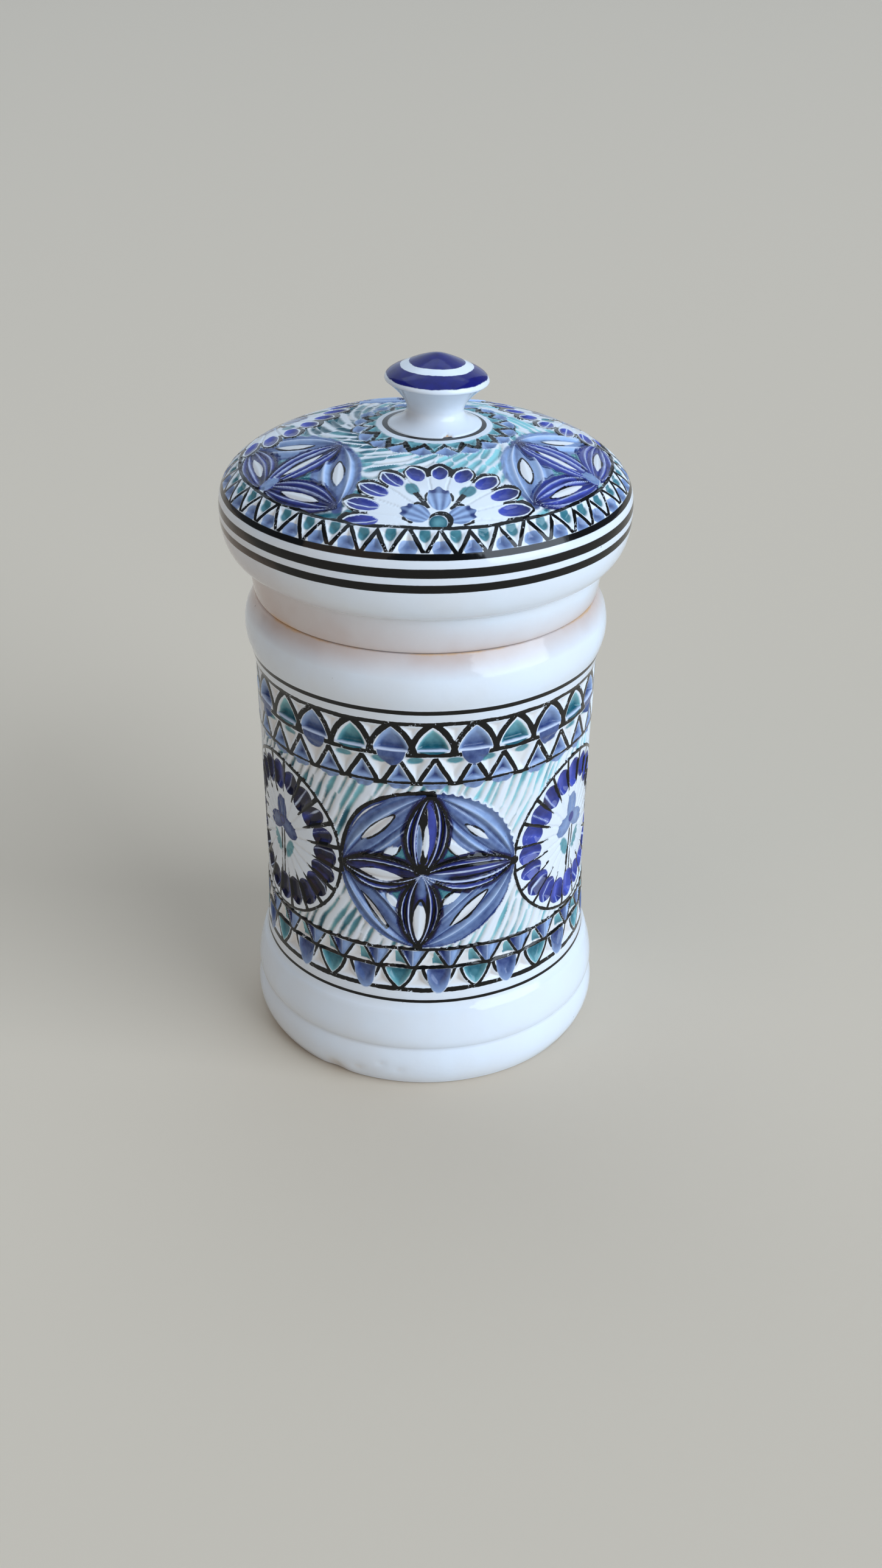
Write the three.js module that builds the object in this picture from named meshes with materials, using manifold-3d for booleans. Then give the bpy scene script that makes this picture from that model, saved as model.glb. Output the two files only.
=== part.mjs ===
// Lidded ceramic jar: a thrown jar on a beaded foot, a domed lid that drops into its mouth,
// and a mushroom knob luted to the top of the lid. The jar and the lid are chip carved.
// Millimetres, +Z up. The origin is the middle of the foot, on the surface the jar stands on.
// The front is towards -Y, and angles round the pot are counted from there towards +X.
import * as THREE from 'three';
import { mergeVertices } from 'three/addons/utils/BufferGeometryUtils.js';
import Module from 'manifold-3d';

// Body of the jar: the radius at its belly, and how far the rest stands out from it
const BODY_RADIUS = 57.7;
const BODY_HEIGHT = 107;
const BELLY_HEIGHT = 30;
const BODY_TOP_FLARE = 1.3;
const JAR_WALL = 6.2;
const JAR_FLOOR = 9;
const FLOOR_CORNER = 14;

// Foot of the jar: two beads with a groove between them, over a trimmed foot ring
const FOOT_FLARE = 5.2;
const FOOT_EDGE_INSET = 3;
const LOWER_BEAD_HEIGHT = 16.2;
const GROOVE_DEPTH = 1.1;
const UPPER_BEAD_INSET = 0.6;
const UPPER_BEAD_HEIGHT = 14.8;
const UPPER_BEAD_CREST = 1 / 3;
const COVE_FLARE = 2.3;
const COVE_HEIGHT = 5;
const COVE_HOLLOW = 0.5;
const FOOT_TOP_FLARE = 0.8;
const FOOT_RING_WIDTH = 9;
const FOOT_RING_BEVEL = 1.2;
const FOOT_RECESS = 2;

// Shoulder and mouth of the jar
const SHOULDER_FLARE = 4.3;
const SHOULDER_RISE = 12.6;
const SHOULDER_FALL = 12.4;
const SHOULDER_ROUND = 0.9;
const MOUTH_LEDGE = 2;
const MOUTH_DEPTH = 9;
const RIM_WIDTH = 8.9;

// Lid: collar, taper out to the widest ring, dome, and the flange that keeps it in the mouth
const SEAT_GAP = 0.3;
const FLANGE_CLEARANCE = 0.9;
const FLANGE_WALL = 4.2;
const FLANGE_DEPTH = 11;
const COLLAR_FLARE = 2;
const COLLAR_HEIGHT = 12.4;
const LID_OVERHANG = 8.5;
const TAPER_HEIGHT = 16.6;
const TAPER_TURN = 3.3;
const DOME_RISE = 27.5;
const DOME_SIDE_POWER = 1.7;
const DOME_CROWN_POWER = 2.6;
const LID_WALL = 5.6;

// Knob: flared base, waisted stem and a domed cap, set a little off the middle by hand
const SLIP_JOINT = 0.3;
const KNOB_OFFSET = 2.7;
const KNOB_SEAT_MARGIN = 4;
const KNOB_BASE_RADIUS = 15.4;
const KNOB_BASE_EDGE = 0.7;
const KNOB_NECK_RADIUS = 9.3;
const KNOB_NECK_HEIGHT = 5.9;
const KNOB_STEM_HEIGHT = 14.2;
const KNOB_CAP_RADIUS = 17.1;
const KNOB_CAP_EDGE = 1.1;
const KNOB_CAP_SHOULDER = 4.7;
const KNOB_CAP_SHOULDER_RISE = 4;
const KNOB_CAP_RISE = 8.3;
const KNOB_CROWN = 5.2;
const KNOB_CROWN_ROUND = 0.7;

// Carved bands of the jar, from the top of the body down and from its foot up. A keel is where a
// chip is deepest, as a share of its rise.
const SCALE_ROW = 11;
const SCALE_COUNT = 26;
const SCALE_START = 3.3;
const SCALE_WIDTH = 11;
const SCALE_RISE = 8.4;
const SCALE_DEPTH = 1.9;
const SCALE_FOOT = 1.6;
const SCALE_KEEL = 1 / 6;
const GABLE_ROW = 10.5;
const GABLE_COUNT = 30;
const GABLE_START = 3.4;
const GABLE_WIDTH = 7.6;
const GABLE_RISE = 6.4;
const GABLE_DEPTH = 1.1;
const GABLE_FOOT = 0.8;
const GABLE_KEEL = 1 / 3;
const LOWER_BAND_RISE = 3.4;
const HANGING_ROW = 9.1;
const HANGING_COUNT = 28;
const HANGING_START = 4.7;
const HANGING_WIDTH = 9;
const HANGING_DROP = 7.4;
const HANGING_DEPTH = 1.7;
const WEDGE_ROW = 7.4;

// Carved rounds between the bands: compass rosettes and wreathed medallions by turns
const ROSETTES = 3;
const ROSETTE_START = 1.6;
const ROUND_MARGIN = 2.2;
const ROUND_DROP = 1.5;
const ROUND_GAP = 0.4;
const PETAL_HALF_WIDTH = 6.6;
const PETAL_DEPTH = 1.7;
const PETAL_HUB_GAP = 1.6;
const LENS_END_ANGLE = 11;
const LENS_LAND = 0.6;
const LENS_INNER_WIDTH = 7.4;
const LENS_DEPTH = 1.7;
const WREATH_PETALS = 20;
const WREATH_INSET = 2;
const WREATH_PETAL_LENGTH = 10;
const WREATH_PETAL_HALF_WIDTH = 3.2;
const WREATH_DEPTH = 1.3;

// Carved halves on the lid: half rosettes and fans by turns, standing inside the lid's border
const LID_BORDER = 9.2;
const HALF_ROSETTES = [-59, 67, 184];
const HALF_HUB_INSET = 0.4;
const HALF_PETAL_TURN = 31;
const HALF_PETAL_INSET = 2.4;
const HALF_INNER_RADIUS = 31.5;
const HALF_PETAL_WIDTHS = [4.2, 5.4];
const HALF_LENS_WIDTHS = [5.6, 4.4];
const HALF_DEPTH = 1.2;
const FANS = [4, 126, 242];
const FAN_RADIUS = 26;
const FAN_PETALS = 9;
const FAN_PITCH = 17;
const FAN_PETAL_LENGTH = 9.4;
const FAN_PETAL_HALF_WIDTH = 2.6;
const FAN_DEPTH = 1.1;

// Fineness of the turned solids
const TURN_STEPS = 48;
const KNOB_TURN_STEPS = 36;
const CURVE_STEPS = 5;
const DOME_STEPS = 9;

// Fineness of the cuts, and how far a cutter stands clear of the skin that it enters
const LEAF_STEPS = 6;
const BUD_STEPS = 3;
const CUTTER_LIP = 0.8;
const SLOPE_STEP = 0.1;

// Radii and heights that more than one piece depends on
const hollowRadius = BODY_RADIUS - JAR_WALL;
const mouthRadius = hollowRadius - MOUTH_LEDGE;
const rimRadius = mouthRadius + RIM_WIDTH;
const footHeight = LOWER_BEAD_HEIGHT + UPPER_BEAD_HEIGHT + COVE_HEIGHT;
const bodyTopZ = footHeight + BODY_HEIGHT;
const rimZ = bodyTopZ + SHOULDER_RISE + SHOULDER_FALL;
const lidFootZ = rimZ + SEAT_GAP;
const collarRadius = rimRadius + COLLAR_FLARE;
const collarZ = lidFootZ + COLLAR_HEIGHT;
const lidRadius = collarRadius + LID_OVERHANG;
const widestZ = collarZ + TAPER_HEIGHT;
const knobSeatRadius = KNOB_BASE_RADIUS + KNOB_OFFSET + KNOB_SEAT_MARGIN;
const knobSeatZ = domeHeight(knobSeatRadius, lidRadius, DOME_RISE);
const lidBorderRadius = lidRadius - LID_BORDER;

// Glaze colours
const glaze = (color, roughness) => new THREE.MeshStandardMaterial({ color, roughness, metalness: 0 });
const jarGlaze = glaze(0x8ea0c4, 0.16);
const lidGlaze = glaze(0x9aaecb, 0.14);
const knobGlaze = glaze(0xe6e8f0, 0.12);

// A profile is drawn in the half plane: x is the radius and y the height.
const at = (radius, height) => new THREE.Vector2(radius, height);

// Carries a profile on to `end` along a parabola that passes through `crest` half way.
function swell(profile, crest, end) {
  const middle = profile.currentPoint.clone().add(end).multiplyScalar(0.5);
  const control = crest.clone().multiplyScalar(2).sub(middle);
  profile.quadraticCurveTo(control.x, control.y, end.x, end.y);
}

// Turns a profile round the vertical axis.
function turn(name, profile, steps, material) {
  const geometry = new THREE.LatheGeometry(profile.getPoints(CURVE_STEPS), steps);
  geometry.rotateX(Math.PI / 2);
  const mesh = new THREE.Mesh(geometry, material);
  mesh.name = name;
  return mesh;
}

// Height of a dome at one radius. Its outline is a superellipse that stands on the lid's widest
// ring, with `radius` and `rise` as its half axes.
function domeHeight(atRadius, radius, rise) {
  const share = 1 - (atRadius / radius) ** DOME_SIDE_POWER;
  return widestZ + rise * share ** (1 / DOME_CROWN_POWER);
}

// Points up a dome from just above its widest ring to `innerRadius`, closest together at the ring
function domePoints(radius, rise, innerRadius) {
  const points = [];
  for (let step = 1; step <= DOME_STEPS; step++) {
    const sweep = (Math.PI / 2) * (step / DOME_STEPS);
    const r = innerRadius + (radius - innerRadius) * Math.cos(sweep);
    points.push(at(r, domeHeight(r, radius, rise)));
  }
  return points;
}

function lineThrough(profile, points) {
  for (const point of points) profile.lineTo(point.x, point.y);
}

// Carving. A skin gives the place on a turned piece for a point of the drawing, lifted off by `out`.

const radians = THREE.MathUtils.degToRad;
const wasm = await Module();
wasm.setup();

// The jar's drawing is rolled round the body: x runs along its girth and y is the height.
function jarSkin(profile) {
  const wall = profile.getPoints(CURVE_STEPS);
  return (point, out) => {
    const rises = (index) => index > 0 && wall[index - 1].y <= point.y && point.y < wall[index].y;
    const above = wall.findIndex((_, index) => rises(index));
    const [low, high] = [wall[above - 1], wall[above]];
    const radius = THREE.MathUtils.mapLinear(point.y, low.y, high.y, low.x, high.x) + out;
    const turned = point.x / BODY_RADIUS;
    return new THREE.Vector3(radius * Math.sin(turned), -radius * Math.cos(turned), point.y);
  };
}

// The lid's drawing is its plan, and its skin is the dome over it.
function lidSkin(point, out) {
  const radius = point.length();
  const height = (reach) => domeHeight(reach, lidRadius, DOME_RISE);
  const fall = height(radius - SLOPE_STEP) - height(radius + SLOPE_STEP);
  const slope = fall / (2 * SLOPE_STEP) / radius;
  const away = new THREE.Vector3(point.x * slope, point.y * slope, 1).setLength(out);
  return new THREE.Vector3(point.x, point.y, height(radius)).add(away);
}

// Closed body of triangles, for cutting
function cutter(corners, triangles) {
  const vertProperties = new Float32Array(corners.flatMap((corner) => corner.toArray()));
  const triVerts = new Uint32Array(triangles.flat());
  return new wasm.Manifold(new wasm.Mesh({ numProp: 3, vertProperties, triVerts }));
}

// A leaf with a sharp keel between two tips. Its section is a kite: left edge, crown, right edge and
// keel. It is drawn larger than the leaf that it leaves, because it starts a lip above the skin.
function leafCut(skin, start, end, [left, right], depth, steps) {
  const share = depth / (depth + CUTTER_LIP);
  const middle = start.clone().lerp(end, 0.5);
  const half = end.clone().sub(middle).divideScalar(Math.sqrt(share));
  const side = at(-half.y, half.x).normalize().divideScalar(share);
  const corners = [];
  const triangles = [];
  const rings = [];
  for (let step = 0; step <= steps; step++) {
    const along = (2 * step) / steps - 1;
    const swelling = 1 - along ** 2;
    const centre = middle.clone().addScaledVector(half, along);
    const kite = [[left, 1], [0, 1 + swelling], [-right, 1], [0, 1 - swelling / (1 - share)]];
    const ring = swelling > 0 ? kite : kite.slice(0, 1);
    rings.push(ring.map(([across, lips]) => {
      const point = centre.clone().addScaledVector(side, across * swelling);
      return corners.push(skin(point, lips * CUTTER_LIP)) - 1;
    }));
  }
  for (let step = 0; step < steps; step++) {
    const [near, far] = [rings[step], rings[step + 1]];
    for (let corner = 0; corner < 4; corner++) {
      const next = (corner + 1) % 4;
      if (near.length > 1) triangles.push([near[corner], near[next], far[next % far.length]]);
      if (far.length > 1) triangles.push([near[corner % near.length], far[next], far[corner]]);
    }
  }
  return cutter(corners, triangles);
}

// A three-cornered chip, deepest at one point
function cornerCut(skin, outline, deepest, depth) {
  const grow = (depth + CUTTER_LIP) / depth;
  const rim = outline.map((corner) => corner.clone().sub(deepest).multiplyScalar(grow).add(deepest));
  const corners = [...rim.map((corner) => skin(corner, CUTTER_LIP)), skin(deepest, -depth)];
  return cutter(corners, [[0, 1, 2], [1, 0, 3], [2, 1, 3], [0, 2, 3]]);
}

// A chip with its foot on a level line and its point `rise` above it, or below it if negative
function gableCut(skin, middle, width, rise, depth, deepestRise) {
  const half = (Math.sign(rise) * width) / 2;
  const corners = [[-half, 0], [half, 0], [0, rise]];
  const outline = corners.map(([across, up]) => at(middle.x + across, middle.y + up));
  return cornerCut(skin, outline, at(middle.x, middle.y + deepestRise), depth);
}

// Takes cuts out of a turned piece.
function carve(mesh, cuts) {
  const bare = new THREE.BufferGeometry();
  bare.setAttribute('position', mesh.geometry.getAttribute('position'));
  bare.setIndex(mesh.geometry.getIndex());
  const merged = mergeVertices(bare);
  const index = Array.from(merged.getIndex().array);
  const triangles = [];
  for (let i = 0; i < index.length; i += 3) {
    const triangle = index.slice(i, i + 3);
    if (new Set(triangle).size === 3) triangles.push(triangle);
  }
  const position = merged.getAttribute('position');
  const corner = (_, i) => new THREE.Vector3().fromBufferAttribute(position, i);
  const corners = Array.from({ length: position.count }, corner);
  const carved = cuts.reduce((body, cut) => body.subtract(cut), cutter(corners, triangles)).getMesh();
  const geometry = new THREE.BufferGeometry();
  geometry.setAttribute('position', new THREE.BufferAttribute(carved.vertProperties, 3));
  geometry.setIndex(new THREE.BufferAttribute(carved.triVerts, 1));
  geometry.computeVertexNormals();
  mesh.geometry = geometry;
  return mesh;
}

// Middles of a ring of chips at one height
function ring(count, start, height) {
  const girth = 2 * Math.PI * BODY_RADIUS;
  return Array.from({ length: count }, (_, i) => at(girth * (start / 360 + i / count), height));
}

// The two bands: scales over gables under the shoulder, and hanging scales over the foot
function bandCuts(skin, gableZ, hangingZ) {
  const scales = ring(SCALE_COUNT, SCALE_START, gableZ + GABLE_ROW + SCALE_FOOT).map((middle) => (
    gableCut(skin, middle, SCALE_WIDTH, SCALE_RISE, SCALE_DEPTH, SCALE_RISE * SCALE_KEEL)));
  const gables = ring(GABLE_COUNT, GABLE_START, gableZ + GABLE_FOOT).map((middle) => (
    gableCut(skin, middle, GABLE_WIDTH, GABLE_RISE, GABLE_DEPTH, GABLE_RISE * GABLE_KEEL)));
  const hanging = ring(HANGING_COUNT, HANGING_START, hangingZ).map((middle) => (
    gableCut(skin, middle, HANGING_WIDTH, -HANGING_DROP, HANGING_DEPTH, -HANGING_DROP * SCALE_KEEL)));
  return [...scales, ...gables, ...hanging];
}

// A compass rosette: four petals from the hub, and a lens between the tips of each two
function rosetteCuts(skin, hub, radius) {
  const bearing = (degrees, reach) => {
    const ray = at(Math.sin(radians(degrees)), Math.cos(radians(degrees)));
    return ray.multiplyScalar(reach).add(hub);
  };
  const petalWidths = [PETAL_HALF_WIDTH, PETAL_HALF_WIDTH];
  const outerWidth = radius * (1 - Math.cos(radians(45 - LENS_END_ANGLE))) - LENS_LAND;
  return [0, 90, 180, 270].flatMap((turned) => [
    leafCut(skin, bearing(turned, PETAL_HUB_GAP), bearing(turned, radius),
      petalWidths, PETAL_DEPTH, LEAF_STEPS),
    leafCut(skin, bearing(turned + LENS_END_ANGLE, radius), bearing(turned + 90 - LENS_END_ANGLE, radius),
      [outerWidth, LENS_INNER_WIDTH], LENS_DEPTH, LEAF_STEPS),
  ]);
}

// A medallion's wreath of short petals
function wreathCuts(skin, hub, radius) {
  const outer = radius - WREATH_INSET;
  const widths = [WREATH_PETAL_HALF_WIDTH, WREATH_PETAL_HALF_WIDTH];
  return Array.from({ length: WREATH_PETALS }, (_, i) => {
    const ray = at(0, 1).rotateAround(at(0, 0), (2 * Math.PI * i) / WREATH_PETALS);
    const start = hub.clone().addScaledVector(ray, outer - WREATH_PETAL_LENGTH);
    const end = hub.clone().addScaledVector(ray, outer);
    return leafCut(skin, start, end, widths, WREATH_DEPTH, BUD_STEPS);
  });
}

// Place in the lid's plan
function inPlan(radius, degrees) {
  const turned = radians(degrees);
  return at(radius * Math.sin(turned), -radius * Math.cos(turned));
}

// Half a rosette on the lid: three petals from a hub at the border, and a lens between each two tips
function halfRosetteCuts(angle) {
  const hub = inPlan(lidBorderRadius - HALF_HUB_INSET, angle);
  const side = lidBorderRadius - HALF_PETAL_INSET;
  const tips = [
    inPlan(side, angle - HALF_PETAL_TURN),
    inPlan(HALF_INNER_RADIUS, angle),
    inPlan(side, angle + HALF_PETAL_TURN),
  ];
  const petal = (tip, widths) => {
    const start = hub.clone().lerp(tip, PETAL_HUB_GAP / hub.distanceTo(tip));
    return leafCut(lidSkin, start, tip, widths, HALF_DEPTH, LEAF_STEPS);
  };
  const lens = (start, end, widths) => {
    const land = PETAL_HUB_GAP / start.distanceTo(end);
    const [near, far] = [start.clone().lerp(end, land), end.clone().lerp(start, land)];
    return leafCut(lidSkin, near, far, widths, HALF_DEPTH, LEAF_STEPS);
  };
  const [outer, inner] = HALF_PETAL_WIDTHS;
  return [
    petal(tips[0], [outer, inner]),
    petal(tips[1], [inner, inner]),
    petal(tips[2], [inner, outer]),
    lens(tips[0], tips[1], HALF_LENS_WIDTHS),
    lens(tips[1], tips[2], HALF_LENS_WIDTHS),
  ];
}

// A fan of short petals on the lid
function fanCuts(angle) {
  const hub = inPlan(lidBorderRadius, angle);
  const widths = [FAN_PETAL_HALF_WIDTH, FAN_PETAL_HALF_WIDTH];
  return Array.from({ length: FAN_PETALS }, (_, i) => {
    const inward = inPlan(-1, angle + FAN_PITCH * (i - (FAN_PETALS - 1) / 2));
    const start = hub.clone().addScaledVector(inward, FAN_RADIUS - FAN_PETAL_LENGTH);
    const end = hub.clone().addScaledVector(inward, FAN_RADIUS);
    return leafCut(lidSkin, start, end, widths, FAN_DEPTH, BUD_STEPS);
  });
}

// All the carving of the jar
function jarCuts(profile) {
  const skin = jarSkin(profile);
  const gableZ = bodyTopZ - SCALE_ROW - GABLE_ROW;
  const hangingZ = footHeight + LOWER_BAND_RISE + HANGING_ROW;
  const fieldZ = hangingZ + WEDGE_ROW;
  const roundZ = (gableZ + fieldZ) / 2 - ROUND_DROP;
  const rounds = ring(2 * ROSETTES, ROSETTE_START, roundZ);
  const radius = Math.min((gableZ - fieldZ) / 2 - ROUND_MARGIN, (rounds[1].x - rounds[0].x) / 2 + ROUND_GAP);
  const cuts = rounds.map((hub, index) => (index % 2 ? wreathCuts : rosetteCuts)(skin, hub, radius));
  return [...bandCuts(skin, gableZ, hangingZ), ...cuts.flat()];
}

// Jar: foot ring and recess, two beads, straight body, rounded shoulder, flat rim and the hollow
function jarBody() {
  const footRadius = BODY_RADIUS + FOOT_FLARE;
  const edgeRadius = footRadius - FOOT_EDGE_INSET;
  const recessRadius = edgeRadius - FOOT_RING_WIDTH;
  const upperBeadRadius = footRadius - UPPER_BEAD_INSET;
  const coveRadius = BODY_RADIUS + COVE_FLARE;
  const coveZ = LOWER_BEAD_HEIGHT + UPPER_BEAD_HEIGHT;
  const footTopRadius = BODY_RADIUS + FOOT_TOP_FLARE;
  const bodyTopRadius = BODY_RADIUS + BODY_TOP_FLARE;
  const shoulderRadius = BODY_RADIUS + SHOULDER_FLARE;
  const shoulderZ = bodyTopZ + SHOULDER_RISE;
  const floorZ = FOOT_RECESS + JAR_FLOOR;
  const mouthZ = rimZ - MOUTH_DEPTH;

  const lowerCrest = at(footRadius, LOWER_BEAD_HEIGHT / 2);
  const groove = at(footRadius - GROOVE_DEPTH, LOWER_BEAD_HEIGHT);
  const upperCrest = at(upperBeadRadius, LOWER_BEAD_HEIGHT + UPPER_BEAD_HEIGHT * UPPER_BEAD_CREST);
  const cove = at(coveRadius, coveZ);
  const coveMiddle = at((coveRadius + footTopRadius) / 2 - COVE_HOLLOW, coveZ + COVE_HEIGHT / 2);
  const belly = at(BODY_RADIUS, footHeight + BELLY_HEIGHT);
  const bodyMiddle = at((BODY_RADIUS + bodyTopRadius) / 2, footHeight + (BELLY_HEIGHT + BODY_HEIGHT) / 2);
  const flare = at((bodyTopRadius + shoulderRadius) / 2, bodyTopZ + SHOULDER_RISE / 2);
  const shoulderTop = at((shoulderRadius + rimRadius) / 2 + SHOULDER_ROUND, shoulderZ + SHOULDER_FALL / 2);

  const profile = new THREE.Path();
  profile.moveTo(0, FOOT_RECESS);
  profile.lineTo(recessRadius - FOOT_RING_BEVEL, FOOT_RECESS);
  profile.lineTo(recessRadius, 0);
  profile.lineTo(edgeRadius, 0);
  swell(profile, lowerCrest, groove);
  swell(profile, upperCrest, cove);
  swell(profile, coveMiddle, at(footTopRadius, footHeight));
  swell(profile, belly, bodyMiddle);
  profile.lineTo(bodyTopRadius, bodyTopZ);
  profile.lineTo(flare.x, flare.y);
  swell(profile, at(shoulderRadius, shoulderZ), shoulderTop);
  profile.lineTo(rimRadius, rimZ);
  profile.lineTo(mouthRadius, rimZ);
  profile.lineTo(mouthRadius, mouthZ);
  profile.lineTo(hollowRadius, mouthZ - MOUTH_DEPTH);
  profile.lineTo(hollowRadius, floorZ + FLOOR_CORNER);
  profile.quadraticCurveTo(hollowRadius, floorZ, hollowRadius - FLOOR_CORNER, floorZ);
  profile.lineTo(0, floorZ);
  return carve(turn('jar_body', profile, TURN_STEPS, jarGlaze), jarCuts(profile));
}

// Lid: hollow dome over a tapered collar; its flange hangs inside the mouth of the jar
function lid() {
  const flangeRadius = mouthRadius - FLANGE_CLEARANCE;
  const boreRadius = flangeRadius - FLANGE_WALL;
  const flangeZ = lidFootZ - FLANGE_DEPTH;
  const innerRadius = lidRadius - LID_WALL;
  const innerRise = knobSeatZ - LID_WALL - widestZ;
  const innerCollar = at(collarRadius - LID_WALL, collarZ + LID_WALL / 2);
  const innerDome = domePoints(innerRadius, innerRise, 0).reverse();

  const profile = new THREE.Path();
  profile.moveTo(innerDome[0].x, innerDome[0].y);
  lineThrough(profile, innerDome.slice(1));
  profile.lineTo(innerRadius, widestZ);
  profile.quadraticCurveTo(innerRadius, innerCollar.y + TAPER_TURN, innerCollar.x, innerCollar.y);
  profile.lineTo(boreRadius, lidFootZ + LID_WALL);
  profile.lineTo(boreRadius, flangeZ);
  profile.lineTo(flangeRadius, flangeZ);
  profile.lineTo(flangeRadius, lidFootZ);
  profile.lineTo(rimRadius, lidFootZ);
  profile.lineTo(collarRadius, collarZ);
  profile.quadraticCurveTo(lidRadius, collarZ + TAPER_TURN, lidRadius, widestZ);
  lineThrough(profile, domePoints(lidRadius, DOME_RISE, knobSeatRadius));
  profile.lineTo(0, knobSeatZ);
  const cuts = [...HALF_ROSETTES.map(halfRosetteCuts), ...FANS.map(fanCuts)];
  return carve(turn('lid', profile, TURN_STEPS, lidGlaze), cuts.flat());
}

// Knob: turned by itself and stuck down on a film of slip
function lidKnob() {
  const capEdgeRadius = KNOB_CAP_RADIUS - KNOB_CAP_EDGE;
  const capZ = KNOB_STEM_HEIGHT + KNOB_CAP_EDGE;
  const capTopZ = capZ + KNOB_CAP_RISE;
  const shoulder = at(KNOB_CAP_RADIUS - KNOB_CAP_SHOULDER, capZ + KNOB_CAP_SHOULDER_RISE);
  const flareZ = (KNOB_NECK_HEIGHT + KNOB_STEM_HEIGHT) / 2;

  const profile = new THREE.Path();
  profile.moveTo(0, 0);
  profile.lineTo(KNOB_BASE_RADIUS, 0);
  profile.lineTo(KNOB_BASE_RADIUS, KNOB_BASE_EDGE);
  profile.quadraticCurveTo(KNOB_NECK_RADIUS, KNOB_NECK_HEIGHT / 2, KNOB_NECK_RADIUS, KNOB_NECK_HEIGHT);
  profile.quadraticCurveTo(KNOB_NECK_RADIUS, flareZ, capEdgeRadius, KNOB_STEM_HEIGHT);
  profile.lineTo(KNOB_CAP_RADIUS, capZ);
  profile.quadraticCurveTo(KNOB_CAP_RADIUS, capZ + KNOB_CAP_SHOULDER_RISE / 2, shoulder.x, shoulder.y);
  profile.quadraticCurveTo(KNOB_CROWN, capTopZ - KNOB_CROWN_ROUND, 0, capTopZ);
  const knob = turn('lid_knob', profile, KNOB_TURN_STEPS, knobGlaze);
  knob.position.set(KNOB_OFFSET, 0, knobSeatZ + SLIP_JOINT);
  return knob;
}

const jar = new THREE.Group();
jar.add(jarBody());
const cover = new THREE.Group();
cover.add(lid(), lidKnob());
const pot = new THREE.Group();
pot.add(jar, cover);

export default pot;
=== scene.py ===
"""A lidded earthenware jar under tin glaze, carved in chip work and painted by hand.

The jar, its lid and the lid's knob are turned skins. Their ornament is worked out on the skin in
millimetres: each motif is a distance from its own outline, which carves the clay and lays the paint.
"""
from __future__ import annotations

import logging
import math
from dataclasses import dataclass, field, replace
from enum import Enum
from functools import partial, reduce
from typing import Callable

import bpy
import numpy as np
from mathutils import Matrix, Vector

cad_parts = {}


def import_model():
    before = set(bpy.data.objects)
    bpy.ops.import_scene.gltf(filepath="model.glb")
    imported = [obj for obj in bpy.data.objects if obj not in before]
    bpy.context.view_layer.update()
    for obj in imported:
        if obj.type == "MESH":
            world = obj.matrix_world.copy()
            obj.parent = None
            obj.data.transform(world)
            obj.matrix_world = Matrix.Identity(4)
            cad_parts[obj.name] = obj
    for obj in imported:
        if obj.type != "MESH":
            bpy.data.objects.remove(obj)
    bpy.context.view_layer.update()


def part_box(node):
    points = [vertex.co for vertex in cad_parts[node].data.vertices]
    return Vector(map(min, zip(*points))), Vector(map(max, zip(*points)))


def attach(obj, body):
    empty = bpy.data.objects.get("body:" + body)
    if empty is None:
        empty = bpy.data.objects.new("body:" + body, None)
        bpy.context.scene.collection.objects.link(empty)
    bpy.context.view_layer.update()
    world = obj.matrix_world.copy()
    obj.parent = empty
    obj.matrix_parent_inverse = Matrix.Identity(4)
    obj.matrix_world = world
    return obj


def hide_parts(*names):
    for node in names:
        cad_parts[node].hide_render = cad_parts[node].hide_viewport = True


Array = np.ndarray
Node = bpy.types.Node
Adder = Callable[..., Node]
Point = tuple[float, float]
Trio = tuple[float, float, float]
Ramp = tuple[float, float, float, float]

MM = 0.001
# Distances in millimetres that stand for no paint, and for glaze with no bare clay, no staining and no
# painted seam shade
FAR = 9.0
UNSTAINED_UNSHADED = 20.0

log = logging.getLogger("lidded_jar")


class Pigment(Enum):
    """The painter's colours, in the order they lie on the white. Banding is black laid on the wheel."""

    TURQUOISE = "turquoise"
    BLUE = "blue"
    COBALT = "cobalt"
    BLACK = "black"
    BANDING = "banding"


# Colour and node helpers


def linear(code: str) -> tuple[float, float, float, float]:
    """Turns an sRGB hex colour into linear values.

    Args:
        code: the colour, such as "#2B2A80".

    Returns:
        Red, green and blue in linear light, and an alpha of 1.
    """
    parts = [int(code[i:i + 2], 16) / 255 for i in (1, 3, 5)]
    light = [p / 12.92 if p <= 0.04045 else ((p + 0.055) / 1.055) ** 2.4 for p in parts]
    return (light[0], light[1], light[2], 1.0)


def add_node(tree: bpy.types.NodeTree, kind: str, inputs: dict | None = None, **settings) -> Node:
    """Adds one node with its settings and links.

    Args:
        tree: the node tree that takes it.
        kind: the shader node's type name.
        inputs: for each input, a value, or the socket or node that feeds it.
        **settings: the node's own properties.

    Returns:
        The new node.
    """
    node = tree.nodes.new("ShaderNode" + kind)
    for name, value in settings.items():
        setattr(node, name, value)
    for key, value in (inputs or {}).items():
        value = value.outputs[0] if isinstance(value, Node) else value
        if isinstance(value, bpy.types.NodeSocket):
            tree.links.new(value, node.inputs[key])
        else:
            node.inputs[key].default_value = value
    return node


# Shapes: each gives the distance in millimetres from an outline, negative inside it


def ease(low: float, high: float, value: Array) -> Array:
    """Rises smoothly from 0 at low to 1 at high."""
    share = np.clip((value - low) / (high - low), 0, 1)
    return share * share * (3 - 2 * share)


def disc(x: Array, y: Array, radius: float) -> Array:
    """Distance from a circle round the origin."""
    return np.hypot(x, y) - radius


def oval(x: Array, y: Array, half_width: float, half_height: float) -> Array:
    """Distance from an oval round the origin, true near its outline."""
    return (np.hypot(x / half_width, y / half_height) - 1) * min(half_width, half_height)


def meet(*shapes: Array) -> Array:
    """Distance from what several shapes share."""
    return reduce(np.maximum, shapes)


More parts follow.
